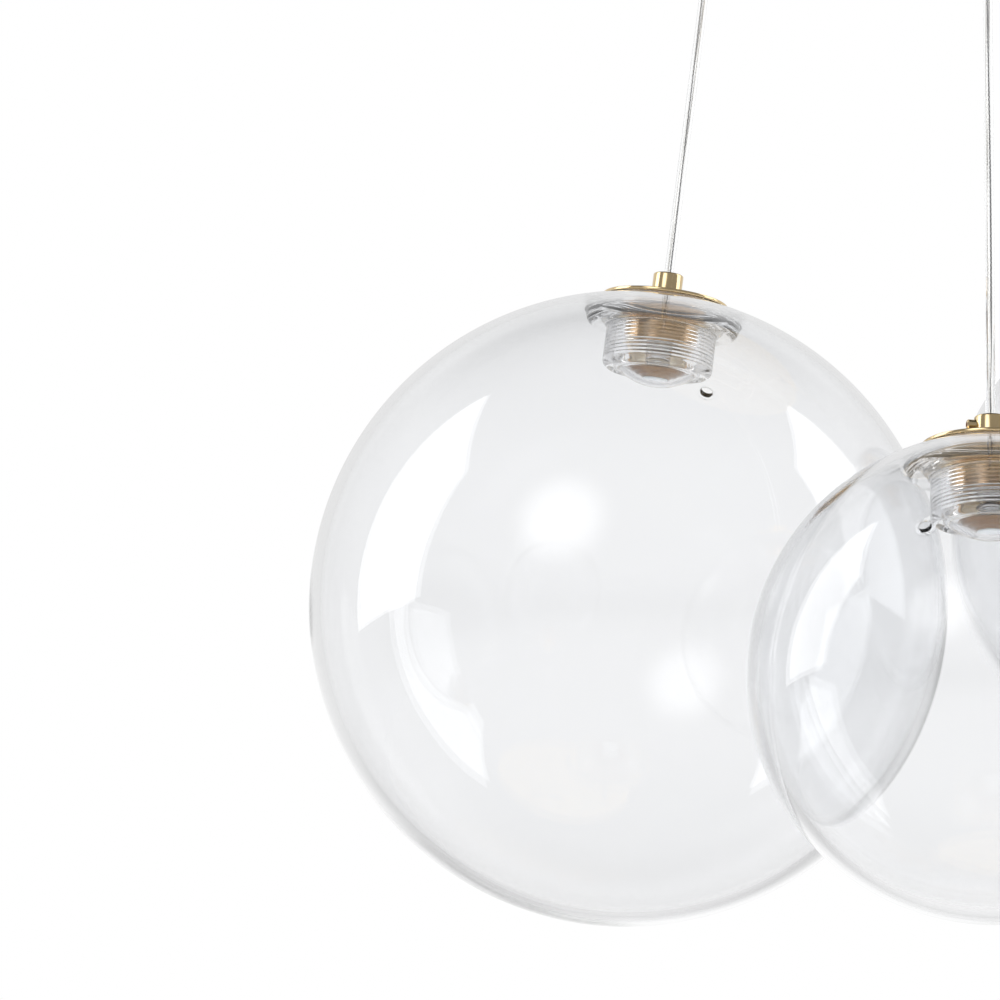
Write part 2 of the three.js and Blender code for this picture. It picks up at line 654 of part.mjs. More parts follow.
const chandelier = new THREE.Group();
piece('canopy_shell', canopyShell(), brass(), chandelier);
piece('mounting_bar', mountingBar(), zincPlate(), chandelier);
piece('canopy_screw_right', canopyScrew(), brass(), chandelier);
piece('canopy_screw_left', canopyScrew(), brass(), chandelier, Math.PI);
piece('earth_screw', earthScrew(), brass(), chandelier);
piece('terminal_block', terminalBlock(), whitePlastic(), chandelier);
piece('driver_pad', driverPad(), greyFoam(), chandelier);
piece('led_driver', ledDriver(), whitePlastic(), chandelier);
piece('output_block', outputBlock(), whitePlastic(), chandelier);
piece('mains_lead', mainsLead(), whitePlastic(), chandelier);
piece('output_lead', outputLead(), whitePlastic(), chandelier);

lamps.forEach((lamp, i) => {
  const exit = exits[i];
  const fitting = new THREE.Group();
  fitting.position.set(exit.x, exit.y, 0);
  fitting.rotation.z = exitBearings[i];
  piece(`canopy_grip_${lamp.size}`, ceilingGrip(), brass(), fitting);
  piece(`canopy_grip_screw_${lamp.size}`, setScrew(ceilingScrewRadius, cordBoreRadius,
    ceilingGripRadius + ceilingScrewProud, ceilingGripTop - ceilingScrewBelowTop), brass(), fitting);
  piece(`grip_nut_${lamp.size}`, gripNut(), steel(), fitting);
  chandelier.add(fitting);
  piece(`cord_tail_${lamp.size}`, cordTail(exit, tailRoutes[i]), clearJacket(), chandelier);
  chandelier.add(hangingLamp(lamp, exit));
});

export default chandelier;
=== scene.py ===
"""Bubble chandelier: the looks of three blown glass globes on clear cords under one canopy.

Every length is in metres. Each lamp is made upright, with the origin at its globe's middle and
+Z along its cord, and is then put where the packed model's joints say.
"""

import json
import math

import bmesh
import bpy
import numpy as np
from bpy.props import FloatProperty, FloatVectorProperty, IntProperty, PointerProperty
from bpy.types import Operator, Panel, PropertyGroup
from mathutils import Matrix, Vector


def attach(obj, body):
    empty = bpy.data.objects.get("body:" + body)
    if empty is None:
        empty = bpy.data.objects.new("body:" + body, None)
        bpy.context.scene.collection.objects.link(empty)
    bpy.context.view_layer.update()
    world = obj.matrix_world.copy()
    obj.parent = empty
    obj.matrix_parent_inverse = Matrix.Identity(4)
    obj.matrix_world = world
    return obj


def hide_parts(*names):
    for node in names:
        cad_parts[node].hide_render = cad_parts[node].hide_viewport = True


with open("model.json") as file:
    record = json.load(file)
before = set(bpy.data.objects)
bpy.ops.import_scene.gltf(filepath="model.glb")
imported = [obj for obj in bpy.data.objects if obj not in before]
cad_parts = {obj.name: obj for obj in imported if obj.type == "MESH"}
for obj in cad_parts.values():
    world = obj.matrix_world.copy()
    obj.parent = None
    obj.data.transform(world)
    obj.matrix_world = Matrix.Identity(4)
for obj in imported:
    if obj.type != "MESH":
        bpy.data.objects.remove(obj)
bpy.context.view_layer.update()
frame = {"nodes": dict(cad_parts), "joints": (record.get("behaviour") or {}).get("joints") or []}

bl_info = {
    "name": "Bubble chandelier",
    "version": (1, 0, 0),
    "blender": (4, 5, 0),
    "location": "View3D > Sidebar > Chandelier",
    "description": "Makes the glass, brass and cords of a bubble chandelier round its packed model",
    "category": "Add Mesh",
}

LAMPS = ("large", "small", "medium")
QUARTER, HALF, WHOLE = math.pi / 2, math.pi, 2 * math.pi
MERGE_DISTANCE = 2e-7
CUT_MARGIN = 0.003
CORE_LAY = 0.3
FEWEST_GLOBE_FACES = 1000

# Where each globe's vent leans and turns to, and its set screw turns to, in degrees
VENTS = {"large": (33.7, 71), "small": (38, 112), "medium": (36, 90)}
SCREW_TURNS = {"large": 115, "small": 190, "medium": 20}


# Sizes and colours that a user would change


def length(description, default):
    return FloatProperty(description=description, default=default, min=0, precision=5,
                         subtype="DISTANCE", unit="LENGTH")


def colour(description, default):
    return FloatVectorProperty(description=description, default=default, size=3, min=0, max=1,
                               subtype="COLOR")


def amount(description, default):
    return FloatProperty(description=description, default=default, min=0)


def labelled(group):
    """Names each setting of a group in plain words, after its own identifier."""
    for name, setting in group.__annotations__.items():
        setting.keywords["name"] = name.replace("_", " ").capitalize()
    return group


@labelled
class GlassSizes(PropertyGroup):
    """Sizes of the blown globes"""

    large: length("Diameter of the large globe", 0.25)
    small: length("Diameter of the small globe", 0.175)
    medium: length("Diameter of the medium globe", 0.2)
    wall: length("Glass at the shoulder", 0.003)
    bottom_wall: length("Glass at the bottom, where it settles", 0.0055)
    ground_flat: length("Radius of the flat under the cap plate", 0.0272)
    bore: length("Radius inside the well", 0.0172)
    well: length("Radius outside the well", 0.022)
    depth: length("From the ground flat to the well's floor", 0.0252)
    floor: length("Glass under the well at its rim", 0.0024)
    dish: length("Radius of the dish in the well's floor", 0.0146)
    dish_depth: length("Depth of the dish in the well's floor", 0.0059)
    corner: length("Radius of the well's outer corner", 0.003)
    lead_in: length("Chamfer at the well's mouth", 0.001)
    ring: length("Radius of the ring of glass where the well is melted on", 0.0308)
    ring_depth: length("Underside of the ring below the ground flat", 0.0102)
    ring_edge: amount("Share of the ring's height that its lower edge rounds", 0.8)
    crease: length("Radius on both sides of the ring", 0.001)
    lens: length("Radius of the lens under the well's floor", 0.0155)
    lens_rise: length("How far the lens stands out", 0.0056)
    vent: length("Radius of the vent", 0.0023)
    vent_lip: length("How far the melted lip of the vent spreads", 0.0017)
    pitch: length("Rise of the well's thread in one turn", 0.0015)
    thread: length("Height of the well's thread", 0.00026)


@labelled
class BrassSizes(PropertyGroup):
    """Sizes of the brass parts on and in a globe, and of the cord"""

    gap: length("Between pieces that rest on each other", 0.0003)
    cord: length("Diameter of the cord", 0.0036)
    washer: length("Thickness of the seal washer", 0.0008)
    washer_outer: length("Outer radius of the washer", 0.0244)
    washer_inner: length("Inner radius of the washer", 0.0188)
    plate: length("Thickness of the cap plate", 0.0012)
    plate_radius: length("Radius of the cap plate", 0.025)
    grip_radius: length("Radius of the cord grip", 0.006)
    grip_length: length("Length of the cord grip over the plate", 0.0102)
    stem_radius: length("Radius of the grip's stem", 0.0048)
    stem: length("How far the stem goes into the lamp body", 0.004)
    screw_radius: length("Radius of the set screw", 0.0019)
    screw_proud: length("How far the set screw stands out", 0.0029)
    screw_below: length("Set screw below the grip's top", 0.0034)
    socket: length("Radius of the set screw's socket", 0.001)
    socket_depth: length("Depth of the set screw's socket", 0.0014)
    head_radius: length("Radius of the lamp body's threaded head", 0.01675)
    head: length("Thickness of the lamp body's head", 0.005)
    body_radius: length("Radius of the lamp body", 0.0144)
    body: length("Lamp body below the plate", 0.0177)
    cavity_depth: length("Top of the lamp body's pocket below its head", 0.0065)
    cavity: length("Radius of the lamp body's pocket", 0.0114)
    board_radius: length("Radius of the light source's board", 0.0123)
    board: length("Thickness of the board", 0.0015)
    board_depth: length("Shoulder over the board, below the plate", 0.012)
    chip_radius: length("Radius of the light source", 0.004)
    chip: length("Thickness of the light source", 0.0007)
    bezel_recess: length("Bezel above the lamp body's lower edge", 0.0004)
    dish_radius: length("Radius of the bezel's dish", 0.0092)
    dish: length("Depth of the bezel's dish", 0.0013)
    guide: length("Radius of the clear light guide", 0.005)
    flange: length("Thickness of the light guide's flange", 0.0014)
    bowl: length("Radius of the brass bowl at the guide's end", 0.0118)
    bowl_wall: length("Thickness of the bowl", 0.0008)
    bowl_space: length("Between the bowl and the dish in the well's floor", 0.001)
    bowl_disc: length("Thickness of the white disc", 0.0006)
    bowl_ridge: length("Height of the bowl's turned ridges", 0.0003)
    bowl_ridges: IntProperty(description="Turned ridges on the bowl", default=3, min=0)
    lens_radius: length("Radius of the lamp's lens", 0.0049)
    lens: length("Thickness of the lamp's lens at its rim", 0.001)
    lens_rise: length("Rise of the lamp's lens", 0.0008)
    ferrule_radius: length("Radius of the strand's ferrule", 0.0026)
    ferrule: length("Length of the strand's ferrule", 0.004)


@labelled
class CanopySizes(PropertyGroup):
    """Sizes of the canopy and its fittings"""

    radius: length("Radius of the canopy", 0.125)
    height: length("Height of the canopy", 0.03)
    wall: length("Sheet that the canopy is spun from", 0.0012)
    corner: length("Radius of the canopy's edge", 0.006)
    grip_radius: length("Radius of the grips under the canopy", 0.006)
    grip: length("Length of the grips under the canopy", 0.012)
    stem_radius: length("Radius of the grips' stems", 0.0048)
    stem_proud: length("Stem past its nut", 0.0025)
    screw_radius: length("Radius of the set screws", 0.0019)
    screw_proud: length("How far the set screws stand out", 0.0016)
    screw_below: length("Set screws below the grips' tops", 0.004)
    mouth: length("Radius of the grips' flared mouths", 0.004)
    mouth_depth: length("Depth of the flared mouths", 0.003)
    nut_flats: length("Width of the nuts across their flats", 0.014)
    nut: length("Thickness of the nuts", 0.0035)
    hole_below: length("Canopy screws below the rim", 0.009)
    hole: length("Radius of the canopy screws' holes", 0.0022)
    head_radius: length("Radius of the canopy screws' heads", 0.004)
    head: length("Thickness of the canopy screws' heads", 0.0024)
    shank: length("Length of the canopy screws' shanks", 0.009)
    slot_width: length("Width of the slots in the canopy screws", 0.0009)
    slot_depth: length("Depth of the slots in the canopy screws", 0.0011)


@labelled
class Finishes(PropertyGroup):
    """Colours of the chandelier's materials"""

    glass: colour("Clear blown glass", (0.966, 0.97, 0.977))
    brass: colour("Polished brass", (0.87, 0.67, 0.38))
    bronze: colour("Brass of the lamp body", (0.68, 0.47, 0.28))
    # Painted shade: the bowl's brass is darkened to the tone that brass takes in shade at the
    # well's floor.
    bowl: colour("Dark bronzed brass of the bowl", (0.27, 0.155, 0.075))
    steel: colour("Bright steel", (0.56, 0.57, 0.58))
    zinc: colour("Zinc plated strip", (0.55, 0.57, 0.58))
    tin: colour("Cores in the clear cord", (0.93, 0.92, 0.9))
    jacket: colour("Clear jacket of the cord", (0.97, 0.975, 0.975))
    # Painted shade: the clear jacket's colour darkens to this grey where the jacket is seen edge
    # on.
    jacket_edge: colour("Clear jacket seen edge on", (0.42, 0.43, 0.45))
    strand: colour("Steel strand in the cord", (0.42, 0.42, 0.43))
    washer: colour("Clear silicone of the washer", (0.93, 0.94, 0.94))
    plastic: colour("Driver and connectors", (0.78, 0.77, 0.73))
    foam: colour("Pad under the driver", (0.16, 0.16, 0.165))
    board: colour("White face of the light source's board", (0.8, 0.8, 0.76))
    phosphor: colour("Yellow face of the light source", (0.85, 0.62, 0.2))
    lens: colour("Clear moulded lens", (0.96, 0.97, 0.98))


@labelled
class Studio(PropertyGroup):
    """Camera, backdrop and lamps"""

    camera_place: FloatVectorProperty(description="Place of the camera", subtype="TRANSLATION",
                                      unit="LENGTH", default=(-0.1732, -1.691, -0.645))
    camera_pitch: FloatProperty(description="How far the camera looks up", subtype="ANGLE",
                                unit="ROTATION", default=math.radians(12))
    camera_lens: FloatProperty(description="Focal length in mm on a 36 mm sensor", min=1,
                               default=162.4)
    room: amount("Brightness of the room behind the camera", 0.3)
    backdrop: amount("Brightness of the backdrop in reflections", 1.0)
    ahead: amount("Brightness close round the backdrop", 0.8)
    ahead_low: amount("Brightness close under the backdrop", 0.68)
    sides: amount("Brightness of the room on both sides of the backdrop", 0.72)
    ceiling: amount("Brightness of the ceiling in reflections", 0.05)
    ground: amount("Brightness of the ground in reflections", 0.9)
    diffuse: amount("Brightness of the room on dull surfaces", 0.75)
    softbox: amount("Brightness of the left softbox", 2.4)
    softbox_right: amount("Brightness of the right softbox", 2.1)
    umbrella: amount("Brightness of the round front light", 2.15)
    floor_height: FloatProperty(description="Height of the floor", subtype="DISTANCE",
                                unit="LENGTH", default=-0.95)
    floor_radius: length("Radius of the round floor", 2.4)


GROUPS = {
    "chandelier_glass": GlassSizes,
    "chandelier_brass": BrassSizes,
    "chandelier_canopy": CanopySizes,
    "chandelier_finishes": Finishes,
    "chandelier_studio": Studio,
}


# Profiles, each a whole array of [radius, height] points


def arc(middle, radius, start, end, count):
    """Points on a circle: middle + radius (cos a, sin a) for a from start to end."""
    angle = np.linspace(start, end, count)
    return np.stack([middle[0] + radius * np.cos(angle), middle[1] + radius * np.sin(angle)], 1)


def ball_of(reach, rise):
    """Radius of the ball whose cap is this wide from its axis and this high."""
    return (reach ** 2 + rise ** 2) / (2 * rise)


def cap(reach, rise, height, count):
    """The cap of a ball, hanging from its rim at a height down to the axis."""
    ball = ball_of(reach, rise)
    start = math.asin(reach / ball) - QUARTER
    points = arc((0, height - rise + ball), ball, start, -QUARTER, count)
    points[-1, 0] = 0
    return points


def oblong(left, right, low, high):
    """The four corners of an oblong."""
    return np.array([[left, low], [right, low], [right, high], [left, high]])


def stepped(*values):
    """Corners in steps, from radii and heights in turn: each new value moves one of the two."""
    return np.array([pair[::-1] if i % 2 else pair
                     for i, pair in enumerate(zip(values, values[1:]))])


def hexagon(radius):
    """Six corners, evenly spaced on a circle."""
    return arc((0, 0), radius, 0, WHOLE, 7)[:-1]


def rounded(corners, radii, count=5):
    """A closed profile with rounded corners.

    At each corner an arc touches both sides. It starts at radius / tan(half the corner's angle)
    from the corner, and its points are the unit vectors between the two touching directions,
    turned evenly from one to the other.
    """
    corner = np.asarray(corners, float)
    back, ahead = np.roll(corner, 1, 0) - corner, np.roll(corner, -1, 0) - corner
    back_length, ahead_length = np.linalg.norm(back, axis=1), np.linalg.norm(ahead, axis=1)
    back /= back_length[:, None]
    ahead /= ahead_length[:, None]
    half = np.arccos(np.clip((back * ahead).sum(1), -1, 1)) / 2
    most = 0.49 * np.minimum(back_length, ahead_length)
    reach = np.minimum(np.asarray(radii) / np.tan(half), most)
    middle_way = back + ahead
    middle_way /= np.maximum(np.linalg.norm(middle_way, axis=1), 1e-12)[:, None]
    middle = corner + middle_way * (reach * np.tan(half) / np.sin(half))[:, None]
    first = corner + back * reach[:, None] - middle
    last = corner + ahead * reach[:, None] - middle
    share = np.linspace(0, 1, count)[None, :, None]
    spread = (HALF - 2 * half)[:, None, None]
    points = middle[:, None] + (np.sin((1 - share) * spread) * first[:, None]
                                + np.sin(share * spread) * last[:, None]) / np.sin(spread)
    return points.reshape(-1, 2)


# Surfaces, each a grid of points worked out as whole arrays


def lengths(path):
    """How far along a path each of its points is."""
    return np.concatenate([[0], np.cumsum(np.linalg.norm(np.diff(path, axis=0), axis=1))])


def turned(profile, sides):
    """A profile carried round the Z axis: the point (r cos a, r sin a, z) for a whole turn.

    Points that lie on their neighbours are left out. A profile that starts off the axis is closed.
    """
    profile = np.asarray(profile, float)
    step = np.linalg.norm(np.diff(profile, axis=0), axis=1)
    profile = profile[np.concatenate([[True], step > MERGE_DISTANCE])]
    if profile[0, 0] > MERGE_DISTANCE:
        profile = np.concatenate([profile, profile[:1]])
    angle = np.linspace(0, WHOLE, sides + 1)
    radius, height = profile[:, :1], profile[:, 1:]
    x, y = radius * np.cos(angle), radius * np.sin(angle)
    return np.stack([x, y, np.broadcast_to(height, x.shape)], 2)


def across(path):
    """Two directions across a path at each point, from its tangent and one fixed direction."""
    tangent = np.gradient(path, axis=0)
    tangent /= np.linalg.norm(tangent, axis=1)[:, None]
    side = np.cross(tangent, [0.31, 0.87, 0.38])
    side /= np.linalg.norm(side, axis=1)[:, None]
    return side, np.cross(side, tangent)


def tube(path, radius, sides):
    """A round tube with closed ends: the points path + r (side cos a + up sin a)."""
    side, up = across(path)
    u, v = arc((0, 0), radius, 0, WHOLE, sides + 1).T[..., None]
    rings = path[:, None] + u * side[:, None] + v * up[:, None]
    first, last = (np.broadcast_to(end, rings[:1].shape) for end in (path[0], path[-1]))
    return np.concatenate([first, rings, last])


def prism(outline, bottom, top):
    """An outline in X and Y carried straight up, with its ends drawn in to the middle."""
    outline = np.concatenate([outline, outline[:1]])
    middle = outline * 0 + outline[:-1].mean(0)
    height = np.array([bottom, bottom, top, top])[:, None, None]
    flat = np.stack([middle, outline, outline, middle])
    return np.concatenate([flat, np.broadcast_to(height, flat.shape[:2] + (1,))], 2)


def mesh_from(grids, place=None, inward=()):
    """One mesh of several grids, with seams and poles merged.

    A grid's faces are wound so that they face out, or in if its number is in inward. The sum of
    their corners' triple products is six times the volume held, and its sign says which way they
    are wound. U goes from 0 to 1 across a grid, and V is the mean length along it.
    """
    points, faces, uvs, start = [], [], [], 0
    for i, grid in enumerate(grids):
        rows, columns = grid.shape[:2]
        number = np.arange(rows * columns).reshape(rows, columns)
        face = np.stack([number[:-1, :-1], number[:-1, 1:], number[1:, 1:], number[1:, :-1]], 2)
        face = face.reshape(-1, 4)
        flat = grid.reshape(-1, 3)
        a, b, c, d = (flat - flat.mean(0))[face].transpose(1, 0, 2)
        volume = (a * np.cross(b, c)).sum() + (a * np.cross(c, d)).sum()
        if (volume < 0) != (i in inward):
            face = face[:, ::-1]
        along = np.cumsum(np.linalg.norm(np.diff(grid, axis=0), axis=2).mean(1))
        along = np.concatenate([[0], along])[:, None]
        uv = np.stack(np.broadcast_arrays(np.linspace(0, 1, columns), along), 2)
        points.append(flat)
        faces.append(face + start)
        uvs.append(uv.reshape(-1, 2)[face])
        start += len(flat)
    points, faces, uvs = map(np.concatenate, (points, faces, uvs))
    mesh = bpy.data.meshes.new("surface")
    mesh.from_pydata(points, [], faces.tolist())
    mesh.uv_layers.new(name="UVMap").data.foreach_set("uv", uvs.ravel())
    shape = bmesh.new()
    shape.from_mesh(mesh)
    bmesh.ops.remove_doubles(shape, verts=shape.verts, dist=MERGE_DISTANCE)
    shape.to_mesh(mesh)
    shape.free()
    mesh.transform(place or Matrix())
    return mesh


def lathe(profile, sides, place=None):
    """A mesh of one turned profile."""
    return mesh_from([turned(profile, sides)], place)


def crosswise(height, facing=0):
    """Matrix that lays an upright shape along X at a height, and then turns it to face round Z."""
    return (Matrix.Rotation(facing, 4, "Z") @ Matrix.Translation((0, 0, height))
            @ Matrix.Rotation(QUARTER, 4, "Y"))


def show(name, data):
    """A new object of a mesh or camera, in the scene."""
    made = bpy.data.objects.new(name, data)
    bpy.context.scene.collection.objects.link(made)
    return made


def piece(name, mesh, material, body, node=None, smooth=35):
    """Puts a mesh into the scene as a named piece that moves with a body of the frame.

    It may replace a node of the packed model.
    """
    mesh.name = name
    mesh.materials.clear()
    mesh.materials.append(finish(material))
    mesh.shade_smooth()
    mesh.set_sharp_from_angle(angle=math.radians(smooth))
    made = show(name, mesh)
    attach(made, body)
    if node:
        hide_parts(node)
    return made


def cut(mesh, *cutters):
    """The mesh less each cutter, by exact booleans, with its faces pointing outwards."""
    body = show("cut_body", mesh)
    tools = [show("cut_tool", cutter) for cutter in cutters]
    for tool in tools:
        step = body.modifiers.new("cut", "BOOLEAN")
        step.operation, step.solver, step.object = "DIFFERENCE", "EXACT", tool
    bpy.context.view_layer.update()
    seen = body.evaluated_get(bpy.context.evaluated_depsgraph_get())
    result = bpy.data.meshes.new_from_object(seen)
    for thing in (body, *tools):
        bpy.data.objects.remove(thing)
    shape = bmesh.new()
    shape.from_mesh(result)
    if shape.calc_volume(signed=True) < 0:
        result.flip_normals()
    shape.free()
    return result


# Where things are


def joint(name):
    return next(found for found in frame["joints"] if found["name"] == name)


def pivot(size):
    """The mouth of the canopy's grip, where a lamp swings."""
    return Vector(joint(f"swing_{size}")["pos_m"])


class Lamp:
    """One lamp: its place, and its parts' heights over its globe's middle as they stack up."""

    def __init__(self, size):
        scene = bpy.context.scene
        glass, brass = scene.chandelier_glass, scene.chandelier_brass
        thread = joint(f"globe_turn_{size}")
        lean = Vector((0, 0, 1)).rotation_difference(-Vector(thread["axis"]).normalized())
        self.size, self.glass, self.brass = size, glass, brass
        self.place = Matrix.Translation(thread["pos_m"]) @ lean.to_matrix().to_4x4()
        self.reach = (pivot(size) - Vector(thread["pos_m"])).length
        self.radius = getattr(glass, size) / 2
        self.seat = math.sqrt(self.radius ** 2 - glass.ground_flat ** 2)
        self.floor = self.seat - glass.depth
        self.washer = self.seat + brass.gap
        self.plate = self.washer + brass.washer + brass.gap
        self.grip = self.plate + brass.plate + brass.gap
        self.grip_top = self.grip + brass.grip_length
        self.head = self.plate - brass.gap
        self.pocket = self.head - brass.cavity_depth
        self.board = self.plate - brass.board_depth - brass.gap - brass.board
        self.bottom = self.plate - brass.body

    def add(self, name, mesh, material, slot, node=None, part="pendant", place=None, smooth=35):
        """Puts an upright mesh where the lamp is, as a piece that rides on a part of the lamp."""
        mesh.transform(place or self.place)
        piece(f"{name}_{self.size}", mesh, material, f"{part}_{self.size}",
              node and f"{node}_{self.size}", smooth)


# Node groups and materials


def add_node(tree, kind, inputs=None, **settings):
    """Adds a node, sets its own settings, and fills or links its inputs."""
    made = tree.nodes.new(kind)
    for name, value in settings.items():
        setattr(made, name, value)
    for name, value in (inputs or {}).items():
        socket = made.inputs[name]
        if isinstance(value, bpy.types.NodeSocket):
            tree.links.new(value, socket)
        else:
            socket.default_value = value
    return made


def calculate(tree, operation, *values):
    return add_node(tree, "ShaderNodeMath", dict(enumerate(values)), operation=operation).outputs[0]


def calculate_vector(tree, operation, *values):
    return add_node(tree, "ShaderNodeVectorMath", dict(enumerate(values)), operation=operation)


def noise(tree, vector, scale, detail, roughness=0.5):
    return add_node(tree, "ShaderNodeTexNoise", {"Vector": vector, "Scale": scale, "Detail": detail,
                                                 "Roughness": roughness}).outputs["Fac"]


def remap(tree, value, low, high, curve="SMOOTHSTEP"):
    return add_node(tree, "ShaderNodeMapRange", {"Value": value, "From Min": low, "From Max": high},
                    interpolation_type=curve).outputs["Result"]


def blend(tree, share, first, second):
    return add_node(tree, "ShaderNodeMix", {"Factor": share, "A": first, "B": second},
                    data_type="FLOAT").outputs["Result"]


def group_shell(name, inputs, outputs):
    """A new node group with named sockets. Each input is a kind, a name and a default value."""
    tree = bpy.data.node_groups.new(name, "ShaderNodeTree")
    for kind, label, value in inputs:
        socket = tree.interface.new_socket(label, in_out="INPUT", socket_type="NodeSocket" + kind)
        if value is not None:
            socket.default_value = value
    for kind, label in outputs:
        tree.interface.new_socket(label, in_out="OUTPUT", socket_type="NodeSocket" + kind)
    return tree, tree.nodes.new("NodeGroupInput").outputs, tree.nodes.new("NodeGroupOutput").inputs


def finish_marks():
    """Soft clouding of a colour, and of its gloss, as handling and lacquer leave on a surface.

    The colour is multiplied by 1 + strength * (broad noise - 0.5), and the roughness is
    gloss + gloss spread * broad noise * fine noise.
    """
    tree, given, wanted = group_shell(
        "finish_marks",
        [("Vector", "Vector", None), ("Color", "Colour", (1, 1, 1, 1)), ("Float", "Scale", 60.0),
         ("Float", "Strength", 0.1), ("Float", "Gloss", 0.2), ("Float", "Gloss spread", 0.1)],
        [("Color", "Colour"), ("Float", "Roughness")])
    broad = noise(tree, given["Vector"], given["Scale"], 4.0, 0.55)
    fine = noise(tree, given["Vector"], calculate(tree, "MULTIPLY", given["Scale"], 9.0), 2.0)
    shift = calculate(tree, "MULTIPLY", calculate(tree, "ADD", broad, -0.5), given["Strength"])
    tint = add_node(tree, "ShaderNodeVectorMath",
                    {0: given["Colour"], "Scale": calculate(tree, "ADD", shift, 1.0)},
                    operation="SCALE")
    gloss = calculate(tree, "MULTIPLY_ADD", calculate(tree, "MULTIPLY", broad, fine),
                      given["Gloss spread"], given["Gloss"])
    tree.links.new(tint.outputs[0], wanted["Colour"])
    tree.links.new(gloss, wanted["Roughness"])
    return tree


def turning_lines():
    """Fine rings that a lathe leaves, from the length along the profile in the UV map."""
    tree, given, wanted = group_shell("turning_lines",
                                      [("Vector", "Vector", None), ("Float", "Lines", 6000.0)],
                                      [("Float", "Height")])
    parts = add_node(tree, "ShaderNodeSeparateXYZ", {0: given["Vector"]}).outputs
    stretched = calculate(tree, "MULTIPLY", parts["Y"], given["Lines"])
    along = add_node(tree, "ShaderNodeCombineXYZ", {0: parts["X"], 1: stretched}).outputs[0]
    tree.links.new(noise(tree, along, 1.0, 2.0, 0.6), wanted["Height"])
    return tree


def group_node(tree, maker, inputs):
    """Places a shared node group, which is built the first time that it is asked for."""
    group = bpy.data.node_groups.get(maker.__name__) or maker()
    return add_node(tree, "ShaderNodeGroup", inputs, node_tree=group).outputs


def material(name, colour, marks, constants):
    """A new material: its node tree, the shader's inputs and the texture coordinates.

    Its colour and roughness come from the group of finish marks, whose values are its scale, its
    strength, its gloss and the gloss's spread. The constants are set on the shader's own sockets.
    """
    made = bpy.data.materials.new(name)
    made.use_nodes = True
    tree = made.node_tree
    shader = tree.nodes["Principled BSDF"].inputs
    places = tree.nodes.new("ShaderNodeTexCoord").outputs
    for label, value in constants.items():
        shader[label].default_value = value
    values = dict(zip(("Scale", "Strength", "Gloss", "Gloss spread"), marks))
    out = group_node(tree, finish_marks,
                     {"Vector": places["Object"], "Colour": (*colour, 1), **values})
    tree.links.new(out["Colour"], shader["Base Color"])
    tree.links.new(out["Roughness"], shader["Roughness"])
    return tree, shader, places


def bumped(tree, shader, height, strength, distance):
    """Feeds a shader's normal from a height."""
    bump = add_node(tree, "ShaderNodeBump", {"Height": height, "Strength": strength,
                                             "Distance": distance})
    tree.links.new(bump.outputs["Normal"], shader["Normal"])


def blown_glass(name, colour):
    """Clear glass with the slow waves that blowing leaves."""
    tree, shader, places = material(name, colour, (14.0, 0.012, 0.0, 0.0),
                                    {"Transmission Weight": 1, "IOR": 1.5})
    bumped(tree, shader, noise(tree, places["Object"], 9.0, 1.5, 0.4), 1.0, 0.0006)


def turned_brass(name, colour, marks, coat, coat_roughness, lines, strength, depth):
    """Turned or spun brass under clear lacquer."""
    tree, shader, places = material(name, colour, marks, {"Metallic": 1, "Coat Weight": coat,
                                                          "Coat Roughness": coat_roughness})
    rings = group_node(tree, turning_lines, {"Vector": places["UV"], "Lines": lines})
    bumped(tree, shader, rings["Height"], strength, depth)


def metal(name, colour, marks, depth):
    """Steel, zinc or tin with fine grain."""
    tree, shader, places = material(name, colour, marks, {"Metallic": 1})
    bumped(tree, shader, noise(tree, places["Object"], marks[0] * 20, 2.0), 0.3, depth)


def dull(name, colour, marks, depth, glow=0.0):
    """Moulded plastic, solder mask or foam with its own grain. A glow, where one is given, is
    painted light: the surface shines pale blue-white though it is no lamp.
    """
    tree, shader, places = material(name, colour, marks, {"Emission Color": (0.88, 0.94, 1, 1),
                                                          "Emission Strength": glow})
    grain = add_node(tree, "ShaderNodeTexVoronoi", {"Vector": places["Object"],
                                                    "Scale": marks[0] * 12})
    bumped(tree, shader, grain.outputs["Distance"], 0.4, depth)


def clear(name, colour, gloss, weight, index, wave, edge=None):
    """Clear jacket, silicone or moulded lens. With an edge colour, its colour darkens to that
    colour where it is seen edge on, which is painted shade.
    """
    tree, shader, places = material(name, colour, (120.0, 0.05, gloss, 0.05),
                                    {"Transmission Weight": weight, "IOR": index})
    bumped(tree, shader, noise(tree, places["Object"], 260.0, 1.0), 0.4, wave)
    if edge:
        # Painted shade: the colour darkens towards the edge colour where the surface is seen edge
        # on.
        facing = add_node(tree, "ShaderNodeLayerWeight", {"Blend": 0.5}).outputs["Facing"]
        middle, edge_shade_colour = shader["Base Color"].links[0].from_socket, (*finish_colour(edge), 1)
        tint = add_node(tree, "ShaderNodeMix",
                        {"Factor": remap(tree, facing, 0.5, 0.95, "LINEAR"), 6: middle, 7: edge_shade_colour},
                        data_type="RGBA")
        tree.links.new(tint.outputs[2], shader["Base Color"])


